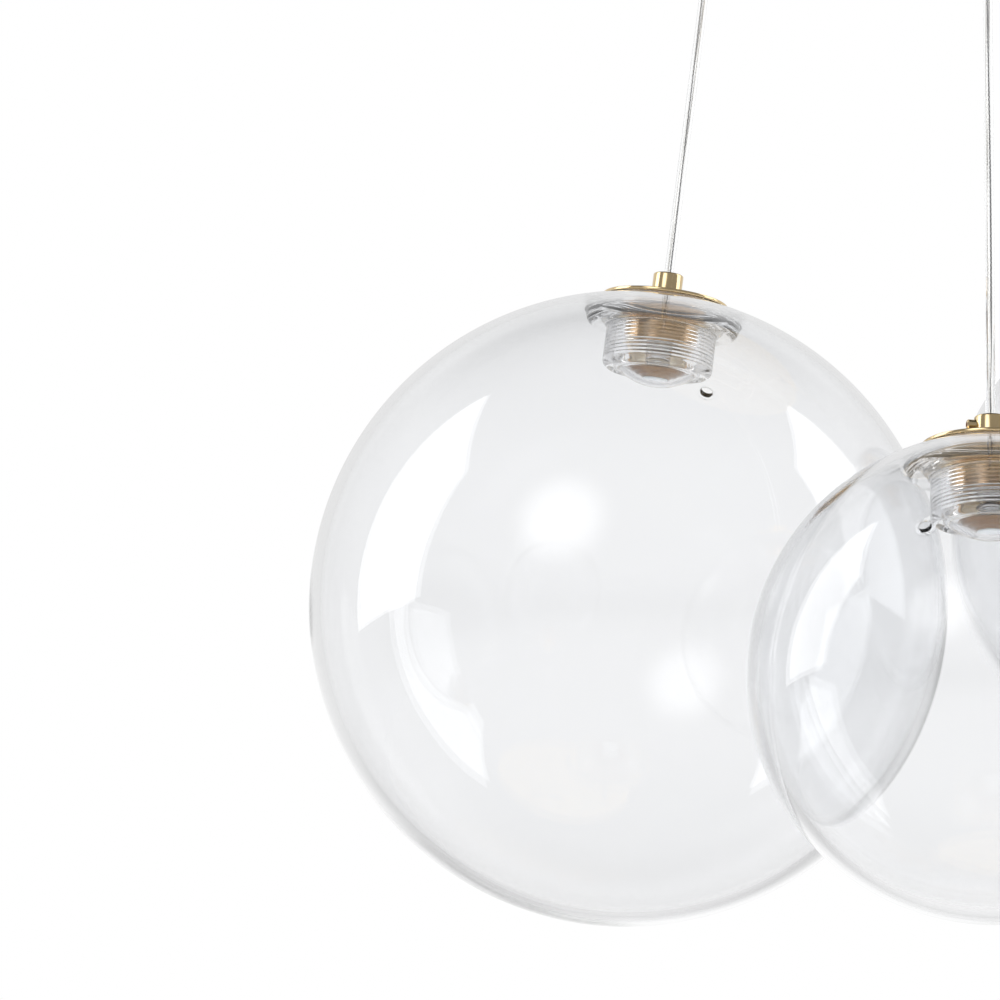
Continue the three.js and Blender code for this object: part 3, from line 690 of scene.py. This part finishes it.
POLISHED = (90.0, 0.16, 0.1, 0.12), 0.25, 0.05, 7000.0, 0.12, 0.00002
SPUN = (30.0, 0.12, 0.24, 0.16), 0.1, 0.2, 4000.0, 0.35, 0.00004
WHITE_BOARD = (120.0, 0.06, 0.3, 0.1), 0.00001
FINISHES = {
    "blown_glass": (blown_glass, "glass"),
    "polished_brass": (turned_brass, "brass", *POLISHED),
    "bronzed_brass": (turned_brass, "bronze", *POLISHED),
    # The same polished brass, darkened to its shaded tone: painted shade.
    "dark_brass": (turned_brass, "bowl", *POLISHED),
    "satin_brass": (turned_brass, "brass", *SPUN),
    "strand_steel": (metal, "strand", (300.0, 0.15, 0.3, 0.1), 0.00001),
    "bright_steel": (metal, "steel", (150.0, 0.15, 0.22, 0.12), 0.00001),
    "zinc_strip": (metal, "zinc", (70.0, 0.3, 0.32, 0.2), 0.00002),
    "tinned_copper": (metal, "tin", (300.0, 0.15, 0.25, 0.1), 0.00002),
    "white_plastic": (dull, "plastic", (60.0, 0.05, 0.42, 0.12), 0.00002),
    "grey_foam": (dull, "foam", (90.0, 0.5, 0.9, 0.1), 0.0003),
    "board_mask": (dull, "board", *WHITE_BOARD),
    # Painted light: this disc glows pale blue-white though it is no lamp, in place of the light
    # that the glass keeps off it.
    "glowing_disc": (dull, "board", *WHITE_BOARD, 0.5),
    "phosphor": (dull, "phosphor", (200.0, 0.12, 0.35, 0.1), 0.00002),
    "clear_jacket": (clear, "jacket", 0.0, 1.0, 1.45, 0.000004, "jacket_edge"),
    "clear_silicone": (clear, "washer", 0.18, 0.9, 1.42, 0.00002),
    "clear_lens": (clear, "lens", 0.03, 0.9, 1.49, 0.00001),
}


def finish_colour(name):
    return getattr(bpy.context.scene.chandelier_finishes, name)


def finish(name):
    """A material by its name, built the first time that it is asked for."""
    full_name = name + "_finish"
    if full_name not in bpy.data.materials:
        maker, colour_name, *values = FINISHES[name]
        maker(full_name, finish_colour(colour_name), *values)
    return bpy.data.materials[full_name]


# The stage


def stage_panel(name, corners, strength, fade=False):
    """A lamp's face: one quad that glows, seen by every ray but the camera's own."""
    mesh = bpy.data.meshes.new(name)
    mesh.from_pydata(corners, [], [(0, 1, 2, 3)])
    mesh.uv_layers.new(name="UVMap").data.foreach_set("uv", [0, 0, 1, 0, 1, 1, 0, 1])
    glow = bpy.data.materials.new(name)
    glow.use_nodes = True
    tree = glow.node_tree
    tree.nodes.clear()
    places = tree.nodes.new("ShaderNodeTexCoord").outputs
    reach = calculate_vector(tree, "DISTANCE", places["UV"], (0.5, 0.5, 0)).outputs["Value"]
    soft = remap(tree, reach, *((0.5, 0.08) if fade else (2.0, 1.0)), "SMOOTHERSTEP")
    light = add_node(tree, "ShaderNodeEmission", {"Strength": strength})
    empty = tree.nodes.new("ShaderNodeBsdfTransparent")
    mixed = add_node(tree, "ShaderNodeMixShader", {0: soft, 1: empty.outputs[0],
                                                   2: light.outputs[0]})
    add_node(tree, "ShaderNodeOutputMaterial", {"Surface": mixed.outputs[0]})
    mesh.materials.append(glow)
    made = show(name, mesh)
    made.visible_camera = made.visible_shadow = False


def world_light(studio):
    """White behind the object, straight or through glass. Reflections see a plain studio."""
    world = bpy.data.worlds.new("studio")
    bpy.context.scene.world = world
    world.use_nodes = True
    tree = world.node_tree
    tree.nodes.clear()
    places = tree.nodes.new("ShaderNodeTexCoord").outputs
    way = add_node(tree, "ShaderNodeSeparateXYZ", {0: places["Generated"]}).outputs

    def towards(axis, low, high, first, second):
        """The first level where the way along an axis is low, and the second where it is high."""
        return blend(tree, remap(tree, way[axis], low, high), first, second)

    sides = towards("Y", -0.1, 0.5, studio.room, studio.sides)
    over = towards("Z", 0.6, 0.95, sides, studio.ceiling)
    round_about = towards("Z", -0.1, -0.4, over, studio.ground)
    near = towards("Z", -0.04, -0.2, studio.ahead, studio.ahead_low)
    ahead = towards("Y", 0.55, 0.92, round_about, near)
    all_round = towards("Y", 0.955, 0.985, ahead, studio.backdrop)
    path = tree.nodes.new("ShaderNodeLightPath").outputs
    bounced = calculate(tree, "ADD", path["Glossy Depth"], path["Diffuse Depth"])
    straight = calculate(tree, "LESS_THAN", bounced, 0.5)
    level = blend(tree, path["Is Diffuse Ray"], all_round, studio.diffuse)
    background = add_node(tree, "ShaderNodeBackground",
                          {"Color": (1, 1, 1, 1), "Strength": blend(tree, straight, level, 1.0)})
    add_node(tree, "ShaderNodeOutputWorld", {"Surface": background.outputs[0]})


def floor(studio):
    """A pale round floor that fades out at its edge and keeps the object's shadow."""
    radius = studio.floor_radius
    mesh = lathe([[0, 0], [radius, 0]], 96, Matrix.Translation((0, 0, studio.floor_height)))
    pale = bpy.data.materials.new("pale_floor")
    pale.use_nodes = True
    tree = pale.node_tree
    shader = tree.nodes["Principled BSDF"].inputs
    shader["Base Color"].default_value = (0.9, 0.9, 0.9, 1)
    shader["Roughness"].default_value = 0.7
    shader["Emission Color"].default_value = (1, 1, 1, 1)
    path = tree.nodes.new("ShaderNodeLightPath").outputs
    seen = calculate(tree, "MAXIMUM", path["Is Camera Ray"], path["Is Transmission Ray"])
    tree.links.new(calculate(tree, "MULTIPLY", seen, 0.25), shader["Emission Strength"])
    places = tree.nodes.new("ShaderNodeTexCoord").outputs
    flat = calculate_vector(tree, "MULTIPLY", places["Object"], (1, 1, 0)).outputs[0]
    reach = calculate_vector(tree, "LENGTH", flat).outputs["Value"]
    tree.links.new(remap(tree, reach, radius, 0.3 * radius, "SMOOTHERSTEP"), shader["Alpha"])
    mesh.materials.append(pale)
    show("floor", mesh)


class CHANDELIER_OT_stage(Operator):
    """Adds the camera, the backdrop, the floor and the studio's lamps"""

    bl_idname = "chandelier.stage"
    bl_label = "Stage"

    def execute(self, context):
        scene, studio = context.scene, context.scene.chandelier_studio
        lens = bpy.data.cameras.new("camera")
        lens.lens, lens.sensor_width = studio.camera_lens, 36
        lens.clip_start, lens.clip_end = 0.05, 50
        camera = show("camera", lens)
        camera.location = studio.camera_place
        camera.rotation_euler = (QUARTER + studio.camera_pitch, 0, 0)
        scene.camera = camera
        scene.view_settings.view_transform = "Standard"
        cycles = scene.cycles
        cycles.max_bounces, cycles.transmission_bounces = 24, 20
        cycles.glossy_bounces, cycles.transparent_max_bounces = 12, 16
        world_light(studio)
        floor(studio)
        stage_panel("softbox_left", [(-1.12, 0.39, -0.345), (-1.12, -0.15, -0.326),
                                     (-1.12, -0.35, 0.45), (-1.12, 0.12, 1.27)], studio.softbox)
        stage_panel("softbox_right", [(0.88, -0.2, -0.33), (0.88, 0.38, -0.345),
                                      (0.88, 0.14, 1.0), (0.88, -0.32, 0.45)],
                    studio.softbox_right)
        middle, target = Vector((-0.99, -1.81, 0.45)), Vector((-0.12, 0.05, -0.32))
        facing = (target - middle).to_track_quat("Z", "Y").to_matrix()
        corners = [middle + facing @ Vector((x, y, 0)) for x, y in oblong(-0.85, 0.85, -0.85, 0.85)]
        stage_panel("umbrella", corners, studio.umbrella, fade=True)
        return {"FINISHED"}


# Cords


def rope(path, place, twist, wires, wire_radius, lay):
    """Wires laid round a middle wire: each follows the path at an even turn of its own phase.

    The middle wire lies at a place across the cord, and goes round in it by twist in all.
    """
    run = lengths(path)
    fine = np.linspace(0, run[-1], max(int(run[-1] / lay * 10), 12))
    line = np.stack([np.interp(fine, run, path[:, i]) for i in range(3)], 1)
    side, up = across(line)
    slow = np.linspace(0, twist, len(fine))[:, None]
    u = place[0] * np.cos(slow) - place[1] * np.sin(slow)
    v = place[0] * np.sin(slow) + place[1] * np.cos(slow)
    middle = line + u * side + v * up
    phases = [(WHOLE * (fine / lay + wire / wires))[:, None] for wire in range(wires)]
    round_it = [middle + 2 * wire_radius * (np.cos(phase) * side + np.sin(phase) * up)
                for phase in phases]
    return [tube(wire, wire_radius, 6) for wire in (middle, *round_it)]


def cord(name, path, node, body, lay):
    """A clear jacket with one steel strand and two tinned cores in it."""
    diameter = bpy.context.scene.chandelier_brass.cord
    run = float(lengths(path)[-1])
    twist = WHOLE * run / CORE_LAY
    strand = rope(path, (-0.0004, 0), twist, wires=3, wire_radius=0.00008, lay=0.0056)
    cores = [wire for side in (0.0003, -0.0003) for wire in
             rope(path, (0.00035, side), twist, wires=6, wire_radius=0.00005, lay=0.011)]
    strand, cores, jacket = (
        piece(f"{start}_{name}", mesh_from(grids), material, body, node_name)
        for start, grids, material, node_name in (
            ("steel_strand", strand, "strand_steel", None),
            ("tinned_cores", cores, "tinned_copper", None),
            ("cord_jacket", [tube(path, diameter / 2, 24)], "clear_jacket", node)))


class CHANDELIER_OT_cords(Operator):
    """Adds the three cords that carry the lamps, from the canopy's grips into the lamp bodies"""

    bl_idname = "chandelier.cords"
    bl_label = "Cords"

    def execute(self, context):
        for lamp in map(Lamp, LAMPS):
            along = np.linspace(lamp.reach, lamp.pocket, 28)
            upright = np.stack([along * 0, along * 0, along], 1)
            place = np.array(lamp.place)
            cord(lamp.size, upright @ place[:3, :3].T + place[:3, 3], f"cord_{lamp.size}",
                 f"pendant_{lamp.size}", "taut")
        return {"FINISHED"}


# Routes of the leads in the canopy, in millimetres. Each tail leaves its grip
# straight up, comes down to 9.5 mm over the canopy's floor, and ends in the output block's face.
TAIL_ROUTES = {
    "large": [(-83, 39, -13), (-72, 36, -12), (-60, 34, -14), (-42, 31, -18.3), (-20, 28, -19.3),
              (10, 25, -19.3), (32, 17, -19.3), (45, 5, -19.3), (47, -6.7, -19.3),
              (47, -10.7, -19.3)],
    "small": [(12, -94, -13), (22, -90, -12), (33, -85, -14), (46, -76, -18.3), (57, -64, -19.3),
              (60, -50, -19.3), (57, -36, -19.3), (57, -29.3, -19.3)],
    "medium": [(77, 51, -13), (75, 41, -12), (73, 30, -14), (69, 18, -18.3), (61, 6, -19.3),
               (57, -5.7, -19.3), (57, -10.7, -19.3)],
}
TAIL_BOTTOM = -22.2
LEAD_ROUTES = {
    "mains_lead": [(-50.3, -42, -19.3), (-56.3, -42, -19.3), (-65, -39, -17.3), (-68, -30, -10.8),
                   (-63, -22, -8.8), (-63, -16.3, -8.8)],
    "output_lead": [(34.3, -42, -19.3), (39.3, -42, -19.3), (45, -40, -19.3), (47, -35, -19.3),
                    (47, -29.3, -19.3)],
}


def smooth_route(points):
    """A curve through points in millimetres, with six even steps from each one to the next.

    It is the centripetal Catmull-Rom curve, whose knots lie the square root of the distances
    apart. Between two points it is blended in three rounds, each from knot to knot:
    ((b - t) p + (t - a) q) / (b - a).
    """
    points = np.asarray(points, float) / 1000
    padded = np.concatenate([2 * points[:1] - points[1:2], points, 2 * points[-1:] - points[-2:-1]])
    gap = np.sqrt(np.linalg.norm(np.diff(padded, axis=0), axis=1))
    knots = np.concatenate([[0], np.cumsum(gap)])
    share = np.linspace(0, 1, 6, endpoint=False)
    pieces = []
    for i in range(1, len(points)):
        knot, row = knots[i - 1:i + 3], padded[i - 1:i + 3]
        t = (knot[1] + share * (knot[2] - knot[1]))[:, None]
        for spans in ((0, 1), (1, 2), (2, 3)), ((0, 2), (1, 3)), ((1, 2),):
            row = [((knot[b] - t) * p + (t - knot[a]) * q) / (knot[b] - knot[a])
                   for (a, b), p, q in zip(spans, row, row[1:])]
        pieces.append(row[0])
    return np.concatenate([*pieces, points[-1:]])


class CHANDELIER_OT_leads(Operator):
    """Adds the cords' ends in the canopy and the driver's two leads"""

    bl_idname = "chandelier.leads"
    bl_label = "Leads in the canopy"

    def execute(self, context):
        diameter = context.scene.chandelier_brass.cord
        for size in LAMPS:
            x, y, _ = pivot(size) * 1000
            start = [(x, y, TAIL_BOTTOM), (x, y, TAIL_BOTTOM + diameter * 1000)]
            path = smooth_route(start + TAIL_ROUTES[size])
            cord(f"tail_{size}", path, f"cord_tail_{size}", "canopy", "loose")
        for name, route in LEAD_ROUTES.items():
            path = smooth_route(route)
            lead = piece(f"white_{name}", mesh_from([tube(path, diameter / 2, 20)]),
                         "white_plastic", "canopy", name)
        return {"FINISHED"}


# Glass


def globe_outside(lamp):
    """The ball up to its ground flat, then the well's bore with its thread, and its floor.

    The bore's radius is bore - thread * (0.5 + 0.5 cos(2 pi (z / pitch - turn))), faded out at
    both ends, where turn is the share of a whole turn round the axis. It is a helix, so one
    grid row crosses all its ribs.
    """
    glass, seat = lamp.glass, lamp.seat
    corner = 0.0008
    mouth, top, low = glass.bore + glass.lead_in, seat - glass.lead_in, lamp.floor + corner
    ball = arc((0, 0), lamp.radius, -QUARTER, math.atan2(seat, glass.ground_flat), 110)
    shoulder = [[mouth + 0.003, seat], [mouth + 0.0003, seat], [mouth, seat - 0.0002]]
    rows = np.linspace(top, low, 150)
    bore = np.stack([np.full(len(rows), glass.bore), rows], 1)
    inner_corner = arc((glass.bore - corner, low), corner, 0, -QUARTER, 5)[1:]
    dish = cap(glass.dish, glass.dish_depth, lamp.floor, 24)
    grid = turned(np.concatenate([ball, shoulder, bore, inner_corner, dish]), 168)
    first = len(ball) + len(shoulder)
    threaded = grid[first:first + len(rows)]
    height = threaded[..., 2]
    share = np.linspace(0, 1, grid.shape[1])
    fade = np.clip((top - height) / glass.pitch, 0, 1) * np.clip((height - low) / glass.pitch, 0, 1)
    rib = 0.5 + 0.5 * np.cos(WHOLE * (height / glass.pitch - share))
    threaded[..., :2] *= (1 - fade * rib * glass.thread / glass.bore)[..., None]
    return grid


def globe_hollow(lamp):
    """The blown hollow: a ball, the ring at its neck, the well's outside, and the lens.

    Small creases lie between ball and ring and between ring and well. Each is an arc that
    touches both its neighbours.
    """
    glass = lamp.glass
    crease, corner = glass.crease, glass.corner
    radius = lamp.radius - (glass.wall + glass.bottom_wall) / 2
    middle = (0, (glass.bottom_wall - glass.wall) / 2)
    angle = math.acos((glass.ring + crease) / (radius - crease))
    high = middle[1] + (radius - crease) * math.sin(angle)
    low = lamp.seat - glass.ring_depth
    edge = (high - low) * glass.ring_edge
    under = lamp.floor - glass.floor
    return turned(np.concatenate([
        arc(middle, radius, -QUARTER, angle, 110),
        arc((glass.ring + crease, high), crease, angle, HALF, 10)[1:],
        arc((glass.ring - edge, low + edge), edge, 0, -QUARTER, 24),
        arc((glass.well + crease, low - crease), crease, QUARTER, HALF, 8),
        arc((glass.well - corner, under + corner), corner, 0, -QUARTER, 14),
        [[glass.lens + 0.0006, under]],
        cap(glass.lens, glass.lens_rise, under, 26),
    ]), 168)


def vent_tool(lamp):
    """A pin that flares at both faces of the wall, so that the vent gets melted lips.

    Its radius is vent + lip * (1 - sqrt(1 - s^2)), where s runs from 0 to 1 over the last lip
    before each face of the glass.
    """
    glass, lip = lamp.glass, lamp.glass.vent_lip
    lean, turn = (math.radians(angle) for angle in VENTS[lamp.size])
    wall = glass.wall + (glass.bottom_wall - glass.wall) * (1 - math.cos(lean)) / 2
    share = np.linspace(0, 1, 8)
    flare = glass.vent + lip * (1 - np.sqrt(1 - share ** 2))
    top = lamp.radius - glass.vent ** 2 / (2 * lamp.radius)
    low = top - wall
    half = min(lip, wall / 2)
    widest = flare[-1] * 1.02
    profile = np.concatenate([
        [[0, low - CUT_MARGIN], [widest, low - CUT_MARGIN]],
        np.stack([flare[::-1], low + half - half * share[::-1]], 1),
        np.stack([flare, top - half + half * share], 1),
        [[widest, top + CUT_MARGIN], [0, top + CUT_MARGIN]]])
    return lathe(profile, 48, Matrix.Rotation(turn, 4, "Z") @ Matrix.Rotation(lean, 4, "Y"))


class CHANDELIER_OT_globes(Operator):
    """Adds the three blown glass globes with their threaded wells and vents"""

    bl_idname = "chandelier.globes"
    bl_label = "Glass globes"

    def execute(self, context):
        for lamp in map(Lamp, LAMPS):
            blown = mesh_from([globe_outside(lamp), globe_hollow(lamp)], inward={1})
            mesh = cut(blown, vent_tool(lamp))
            if len(mesh.polygons) < FEWEST_GLOBE_FACES:
                raise RuntimeError(f"the vent of the {lamp.size} globe could not be cut")
            lamp.add("blown_globe", mesh, "blown_glass", "clear_glass", "glass_globe", "globe",
                     smooth=40)
        return {"FINISHED"}


# Brass parts on and in the globes


def grip_and_screw(profile, sizes, top):
    """A turned grip with a hole for its set screw, and the set screw, both facing along X.

    The screw is a turned shank with a chamfered end, less a six-sided socket.
    """
    brass = bpy.context.scene.chandelier_brass
    lay = crosswise(top - sizes.screw_below)
    radius, start = sizes.screw_radius, brass.cord / 2 + brass.gap
    end = sizes.grip_radius + sizes.screw_proud
    edge = radius * 0.22
    hole = oblong(0, radius + brass.gap / 2, 0.0002, sizes.grip_radius + 0.002)
    shank = [[0, start], [radius, start], [radius, end - edge], [radius - edge, end], [0, end]]
    socket = prism(hexagon(brass.socket), end - brass.socket_depth, end + 0.001)
    return (cut(lathe(profile, 96), lathe(hole, 40, lay)),
            cut(lathe(shank, 40, lay), mesh_from([socket], lay)))


class CHANDELIER_OT_fittings(Operator):
    """Adds each globe's washer, cap plate, cord grip and set screw"""

    bl_idname = "chandelier.fittings"
    bl_label = "Washers, plates and grips"

    def execute(self, context):
        brass = context.scene.chandelier_brass
        bore = brass.cord / 2 + brass.gap
        hole = brass.stem_radius + brass.gap
        for lamp in map(Lamp, LAMPS):
            washer = oblong(brass.washer_inner, brass.washer_outer, lamp.washer,
                            lamp.washer + brass.washer)
            lamp.add("clear_washer", lathe(rounded(washer, 0.0003), 120), "clear_silicone",
                     "clear_rubber", "seal_washer", "washer")
            plate = oblong(hole, brass.plate_radius, lamp.plate, lamp.plate + brass.plate)
            lamp.add("round_cap_plate", lathe(rounded(plate, 0.00035), 144), "polished_brass",
                     "brass", "cap_plate")

            low = lamp.head - brass.stem
            profile = rounded(stepped(bore, low, brass.stem_radius, lamp.grip, brass.grip_radius,
                                      lamp.grip_top, bore),
                              [0.0001, 0.0003, 0.0002, 0.0003, 0.0007, 0.0004])
            grip, screw = grip_and_screw(profile, brass, lamp.grip_top)
            turn = math.radians(SCREW_TURNS[lamp.size])
            place = lamp.place @ Matrix.Rotation(turn, 4, "Z")
            lamp.add("turned_cord_grip", grip, "polished_brass", "brass", "cord_grip", place=place)
            lamp.add("socket_screw", screw, "polished_brass", "brass", "grip_screw", place=place)
        return {"FINISHED"}


class CHANDELIER_OT_lamp_bodies(Operator):
    """Adds each lamp body with its ferrule, board, light source, bezel and lens"""

    bl_idname = "chandelier.lamp_bodies"
    bl_label = "Lamp bodies"

    def execute(self, context):
        brass = context.scene.chandelier_brass
        bore = brass.cord / 2 + brass.gap
        hole = brass.stem_radius + brass.gap
        pocket = brass.board_radius + brass.gap
        for lamp in map(Lamp, LAMPS):
            shoulder = lamp.plate - brass.board_depth
            stem_low = lamp.head - brass.stem - 0.0005
            under_head = lamp.head - brass.head
            body = rounded(stepped(hole, lamp.head, brass.head_radius, under_head,
                                   brass.body_radius, lamp.bottom, pocket, shoulder, brass.cavity,
                                   lamp.pocket, bore, stem_low, hole),
                           [0.0003, 0.0004, 0.0004, 0.0002, 0.0006, 0.0002, 0.0002, 0.0002,
                            0.001, 0.0003, 0.0002, 0.0002])
            lamp.add("turned_lamp_body", lathe(body, 128), "bronzed_brass", "brass", "lamp_body")

            top = lamp.pocket - brass.gap
            ferrule = oblong(0.0004, brass.ferrule_radius, top - brass.ferrule, top)
            lamp.add("crimped_ferrule", lathe(rounded(ferrule, 0.00035), 32), "bright_steel",
                     "steel", "strand_ferrule")

            low, high, radius = lamp.board, lamp.board + brass.board, brass.board_radius
            board = [[0, high], [radius - 0.0002, high], [radius, high - 0.0002], [radius, low],
                     [0, low]]
            lamp.add("light_board", lathe(board, 72), "board_mask", "board", "led_board")
            face, radius = low - brass.chip, brass.chip_radius
            source = [[0, low - 0.00002], [radius, low - 0.00002], [radius, face + 0.00015],
                      [radius - 0.0002, face], [0, face]]
            lamp.add("light_source", lathe(source, 48), "phosphor", "board")

            top, low = lamp.board - brass.gap, lamp.bottom + brass.bezel_recess
            throat = brass.lens_radius + brass.gap
            bezel = rounded([[brass.board_radius, top], [brass.board_radius, low],
                             [brass.dish_radius, low], [throat, low + brass.dish], [throat, top]],
                            [0.0001, 0.0003, 0.0006, 0.0003, 0.0001])
            lamp.add("dished_bezel", lathe(bezel, 96), "polished_brass", "brass", "led_bezel")

            top = face - brass.gap
            dome = cap(brass.lens_radius, brass.lens_rise, top - brass.lens, 12)
            lens = np.concatenate([[[0, top], [brass.lens_radius, top]], dome])
            lamp.add("moulded_lens", lathe(lens, 64), "clear_lens", "diffuser", "led_lens")
        return {"FINISHED"}


class CHANDELIER_OT_light_guides(Operator):
    """Adds under each lamp body a clear light guide that ends in a brass bowl with a white disc"""

    bl_idname = "chandelier.light_guides"
    bl_label = "Light guides"

    def execute(self, context):
        glass, brass = context.scene.chandelier_glass, context.scene.chandelier_brass
        ball = ball_of(glass.dish, glass.dish_depth)
        outer = ball - brass.bowl_space
        start = math.acos(brass.bowl / outer)
        stop = math.acos((brass.guide + brass.gap) / outer)
        share, angle = np.linspace(0, 1, 90), np.linspace(-stop, -start, 90)
        ridges = 0.5 - 0.5 * np.cos(WHOLE * brass.bowl_ridges * share)
        reach = outer - brass.bowl_ridge * ridges
        for lamp in map(Lamp, LAMPS):
            dish_low = lamp.floor - glass.dish_depth
            end, top = dish_low + brass.bowl_space, lamp.bottom - brass.gap
            under, disc_top = top - brass.flange, end + brass.bowl_disc
            guide_end = disc_top + brass.gap
            guide = rounded(stepped(0, top, brass.board_radius, under, brass.guide, guide_end, 0),
                            [0, 0.0003, 0.0003, 0.0012, 0.0002, 0])
            lamp.add("light_guide", lathe(guide, 64), "clear_lens", "diffuser")
            disc = [[0, end + 0.0001], [brass.guide - 0.0002, end + 0.0001],
                    [brass.guide, end + 0.0003], [brass.guide, disc_top], [0, disc_top]]
            # The diffuser disc carries a painted glow: it shines though it is no lamp.
            lamp.add("diffuser_disc", lathe(disc, 64), "glowing_disc", "diffuser")

            middle = dish_low + ball
            outside = np.stack([reach * np.cos(angle), middle + reach * np.sin(angle)], 1)
            inside = arc((0, middle), outer - brass.bowl_wall, -start, -stop, 30)
            # The bowl's brass is darkened to its shaded tone, which is painted shade.
            lamp.add("brass_bowl", lathe(np.concatenate([outside, inside]), 128), "dark_brass",
                     "brass", smooth=50)
        return {"FINISHED"}


# Canopy


class CHANDELIER_OT_canopy(Operator):
    """Adds the spun canopy with its holes, and the two screws that hold it"""

    bl_idname = "chandelier.canopy"
    bl_label = "Canopy"

    def execute(self, context):
        canopy, brass = context.scene.chandelier_canopy, context.scene.chandelier_brass
        radius, inner = canopy.radius, canopy.radius - canopy.wall
        low, floor = -canopy.height, canopy.wall - canopy.height
        corner = (radius - canopy.corner, low + canopy.corner)
        rim = rounded([[radius, -0.001], [radius, 0], [inner, 0], [inner, -0.001]],
                      [0, 0.0004, 0.0004, 0])
        rings = (0, 0.04, 0.085)
        profile = np.concatenate([[[ring, low] for ring in rings],
                                  arc(corner, canopy.corner, -QUARTER, 0, 14), rim,
                                  arc(corner, canopy.corner - canopy.wall, 0, -QUARTER, 14),
                                  [[ring, floor] for ring in rings[::-1]]])
        pin = oblong(0, brass.stem_radius + brass.gap, low - CUT_MARGIN, floor + CUT_MARGIN)
        bar = oblong(0, canopy.hole, inner - 0.004, radius + CUT_MARGIN)
        lays = {word: crosswise(-canopy.hole_below, facing)
                for word, facing in (("right", 0), ("left", HALF))}
        tools = [lathe(pin, 64, Matrix.Translation((*pivot(size).xy, 0))) for size in LAMPS]
        tools += [lathe(bar, 40, lay) for lay in lays.values()]
        shell = piece("spun_canopy", cut(lathe(profile, 192), *tools), "satin_brass", "canopy",
                      "canopy_shell", 30)
        shell.visible_glossy = False

        start = radius + brass.gap
        top, end, shank = start + canopy.head, start - canopy.shank, canopy.hole - brass.gap
        profile = rounded([[0, top], [canopy.head_radius * 0.8, top],
                           [canopy.head_radius, start + canopy.head / 2],
                           [canopy.head_radius, start], [shank, start], [shank, end], [0, end]],
                          [0, 0.0009, 0.0006, 0.0002, 0.0002, 0.0003, 0])
        outline = oblong(-0.006, 0.006, -canopy.slot_width / 2, canopy.slot_width / 2)
        slot = prism(outline, top - canopy.slot_depth, top + 0.001)
        for word, lay in lays.items():
            across_head = mesh_from([slot], lay @ Matrix.Rotation(0.4, 4, "Z"))
            piece(f"slotted_screw_{word}", cut(lathe(profile, 48, lay), across_head),
                  "polished_brass", "canopy", f"canopy_screw_{word}")
        return {"FINISHED"}


class CHANDELIER_OT_canopy_grips(Operator):
    """Adds the grips under the canopy with their set screws and nuts"""

    bl_idname = "chandelier.canopy_grips"
    bl_label = "Grips under the canopy"

    def execute(self, context):
        canopy, brass = context.scene.chandelier_canopy, context.scene.chandelier_brass
        bore = brass.cord / 2 + brass.gap
        top = -canopy.height - brass.gap
        low = top - canopy.grip
        nut_low = canopy.wall - canopy.height + brass.gap
        nut_top = nut_low + canopy.nut
        stem_top = nut_top + canopy.stem_proud
        profile = rounded(stepped(canopy.mouth, low, canopy.grip_radius, top, canopy.stem_radius,
                                  stem_top, bore, low + canopy.mouth_depth),
                          [0.0004, 0.0006, 0.0003, 0.0002, 0.0004, 0.0003, 0.001])
        nut = prism(hexagon(canopy.nut_flats / 2 / math.cos(math.pi / 6)), nut_low, nut_top)
        pin = oblong(0, canopy.stem_radius + brass.gap, nut_low - 0.002, nut_top + 0.002)
        for size in LAMPS:
            x, y, _ = pivot(size)
            outwards = Matrix.Rotation(math.atan2(y, x), 4, "Z")
            grip, screw = grip_and_screw(profile, canopy, top)
            bored_nut = cut(mesh_from([nut]), lathe(pin, 64))
            for name, mesh, material, slot, node, smooth in (
                    ("turned_canopy_grip", grip, "polished_brass", "brass", "canopy_grip", 35),
                    ("canopy_socket_screw", screw, "polished_brass", "brass",
                     "canopy_grip_screw", 35),
                    ("steel_nut", bored_nut, "bright_steel", "steel", "grip_nut", 25)):
                mesh.transform(Matrix.Translation((x, y, 0)) @ outwards)
                piece(f"{name}_{size}", mesh, material, "canopy", f"{node}_{size}", smooth)
        return {"FINISHED"}


CARRIED = {
    "mounting_bar": "zinc_strip",
    "earth_screw": "polished_brass",
    "terminal_block": "white_plastic",
    "driver_pad": "grey_foam",
    "led_driver": "white_plastic",
    "output_block": "white_plastic",
}


class CHANDELIER_OT_carried_over(Operator):
    """Gives the packed model's own solids in the canopy their materials"""

    bl_idname = "chandelier.carried_over"
    bl_label = "Bar, driver and connectors"

    def execute(self, context):
        for node, name in CARRIED.items():
            solid = frame["nodes"][node]
            solid.data.materials.clear()
            solid.data.materials.append(finish(name))
        return {"FINISHED"}


class CHANDELIER_PT_panel(Panel):
    """Lists the chandelier's pieces and settings"""

    bl_idname = "CHANDELIER_PT_panel"
    bl_label = "Bubble chandelier"
    bl_space_type = "VIEW_3D"
    bl_region_type = "UI"
    bl_category = "Chandelier"

    def draw(self, context):
        for operator in OPERATORS:
            self.layout.operator(operator.bl_idname)
        for name, group in GROUPS.items():
            box = self.layout.box()
            box.label(text=group.__doc__)
            for setting in group.__annotations__:
                box.prop(getattr(context.scene, name), setting)


OPERATORS = (
    CHANDELIER_OT_stage, CHANDELIER_OT_cords, CHANDELIER_OT_leads, CHANDELIER_OT_globes,
    CHANDELIER_OT_fittings, CHANDELIER_OT_lamp_bodies, CHANDELIER_OT_light_guides,
    CHANDELIER_OT_canopy, CHANDELIER_OT_canopy_grips, CHANDELIER_OT_carried_over,
)


def register():
    for made in (*GROUPS.values(), *OPERATORS, CHANDELIER_PT_panel):
        bpy.utils.register_class(made)
    for name, group in GROUPS.items():
        setattr(bpy.types.Scene, name, PointerProperty(type=group))


def unregister():
    for name in GROUPS:
        delattr(bpy.types.Scene, name)
    for made in (CHANDELIER_PT_panel, *reversed(OPERATORS), *reversed(GROUPS.values())):
        bpy.utils.unregister_class(made)


def main():
    register()
    for operator in OPERATORS:
        family, name = operator.bl_idname.split(".")
        getattr(getattr(bpy.ops, family), name)()


if __name__ == "__main__":
    main()
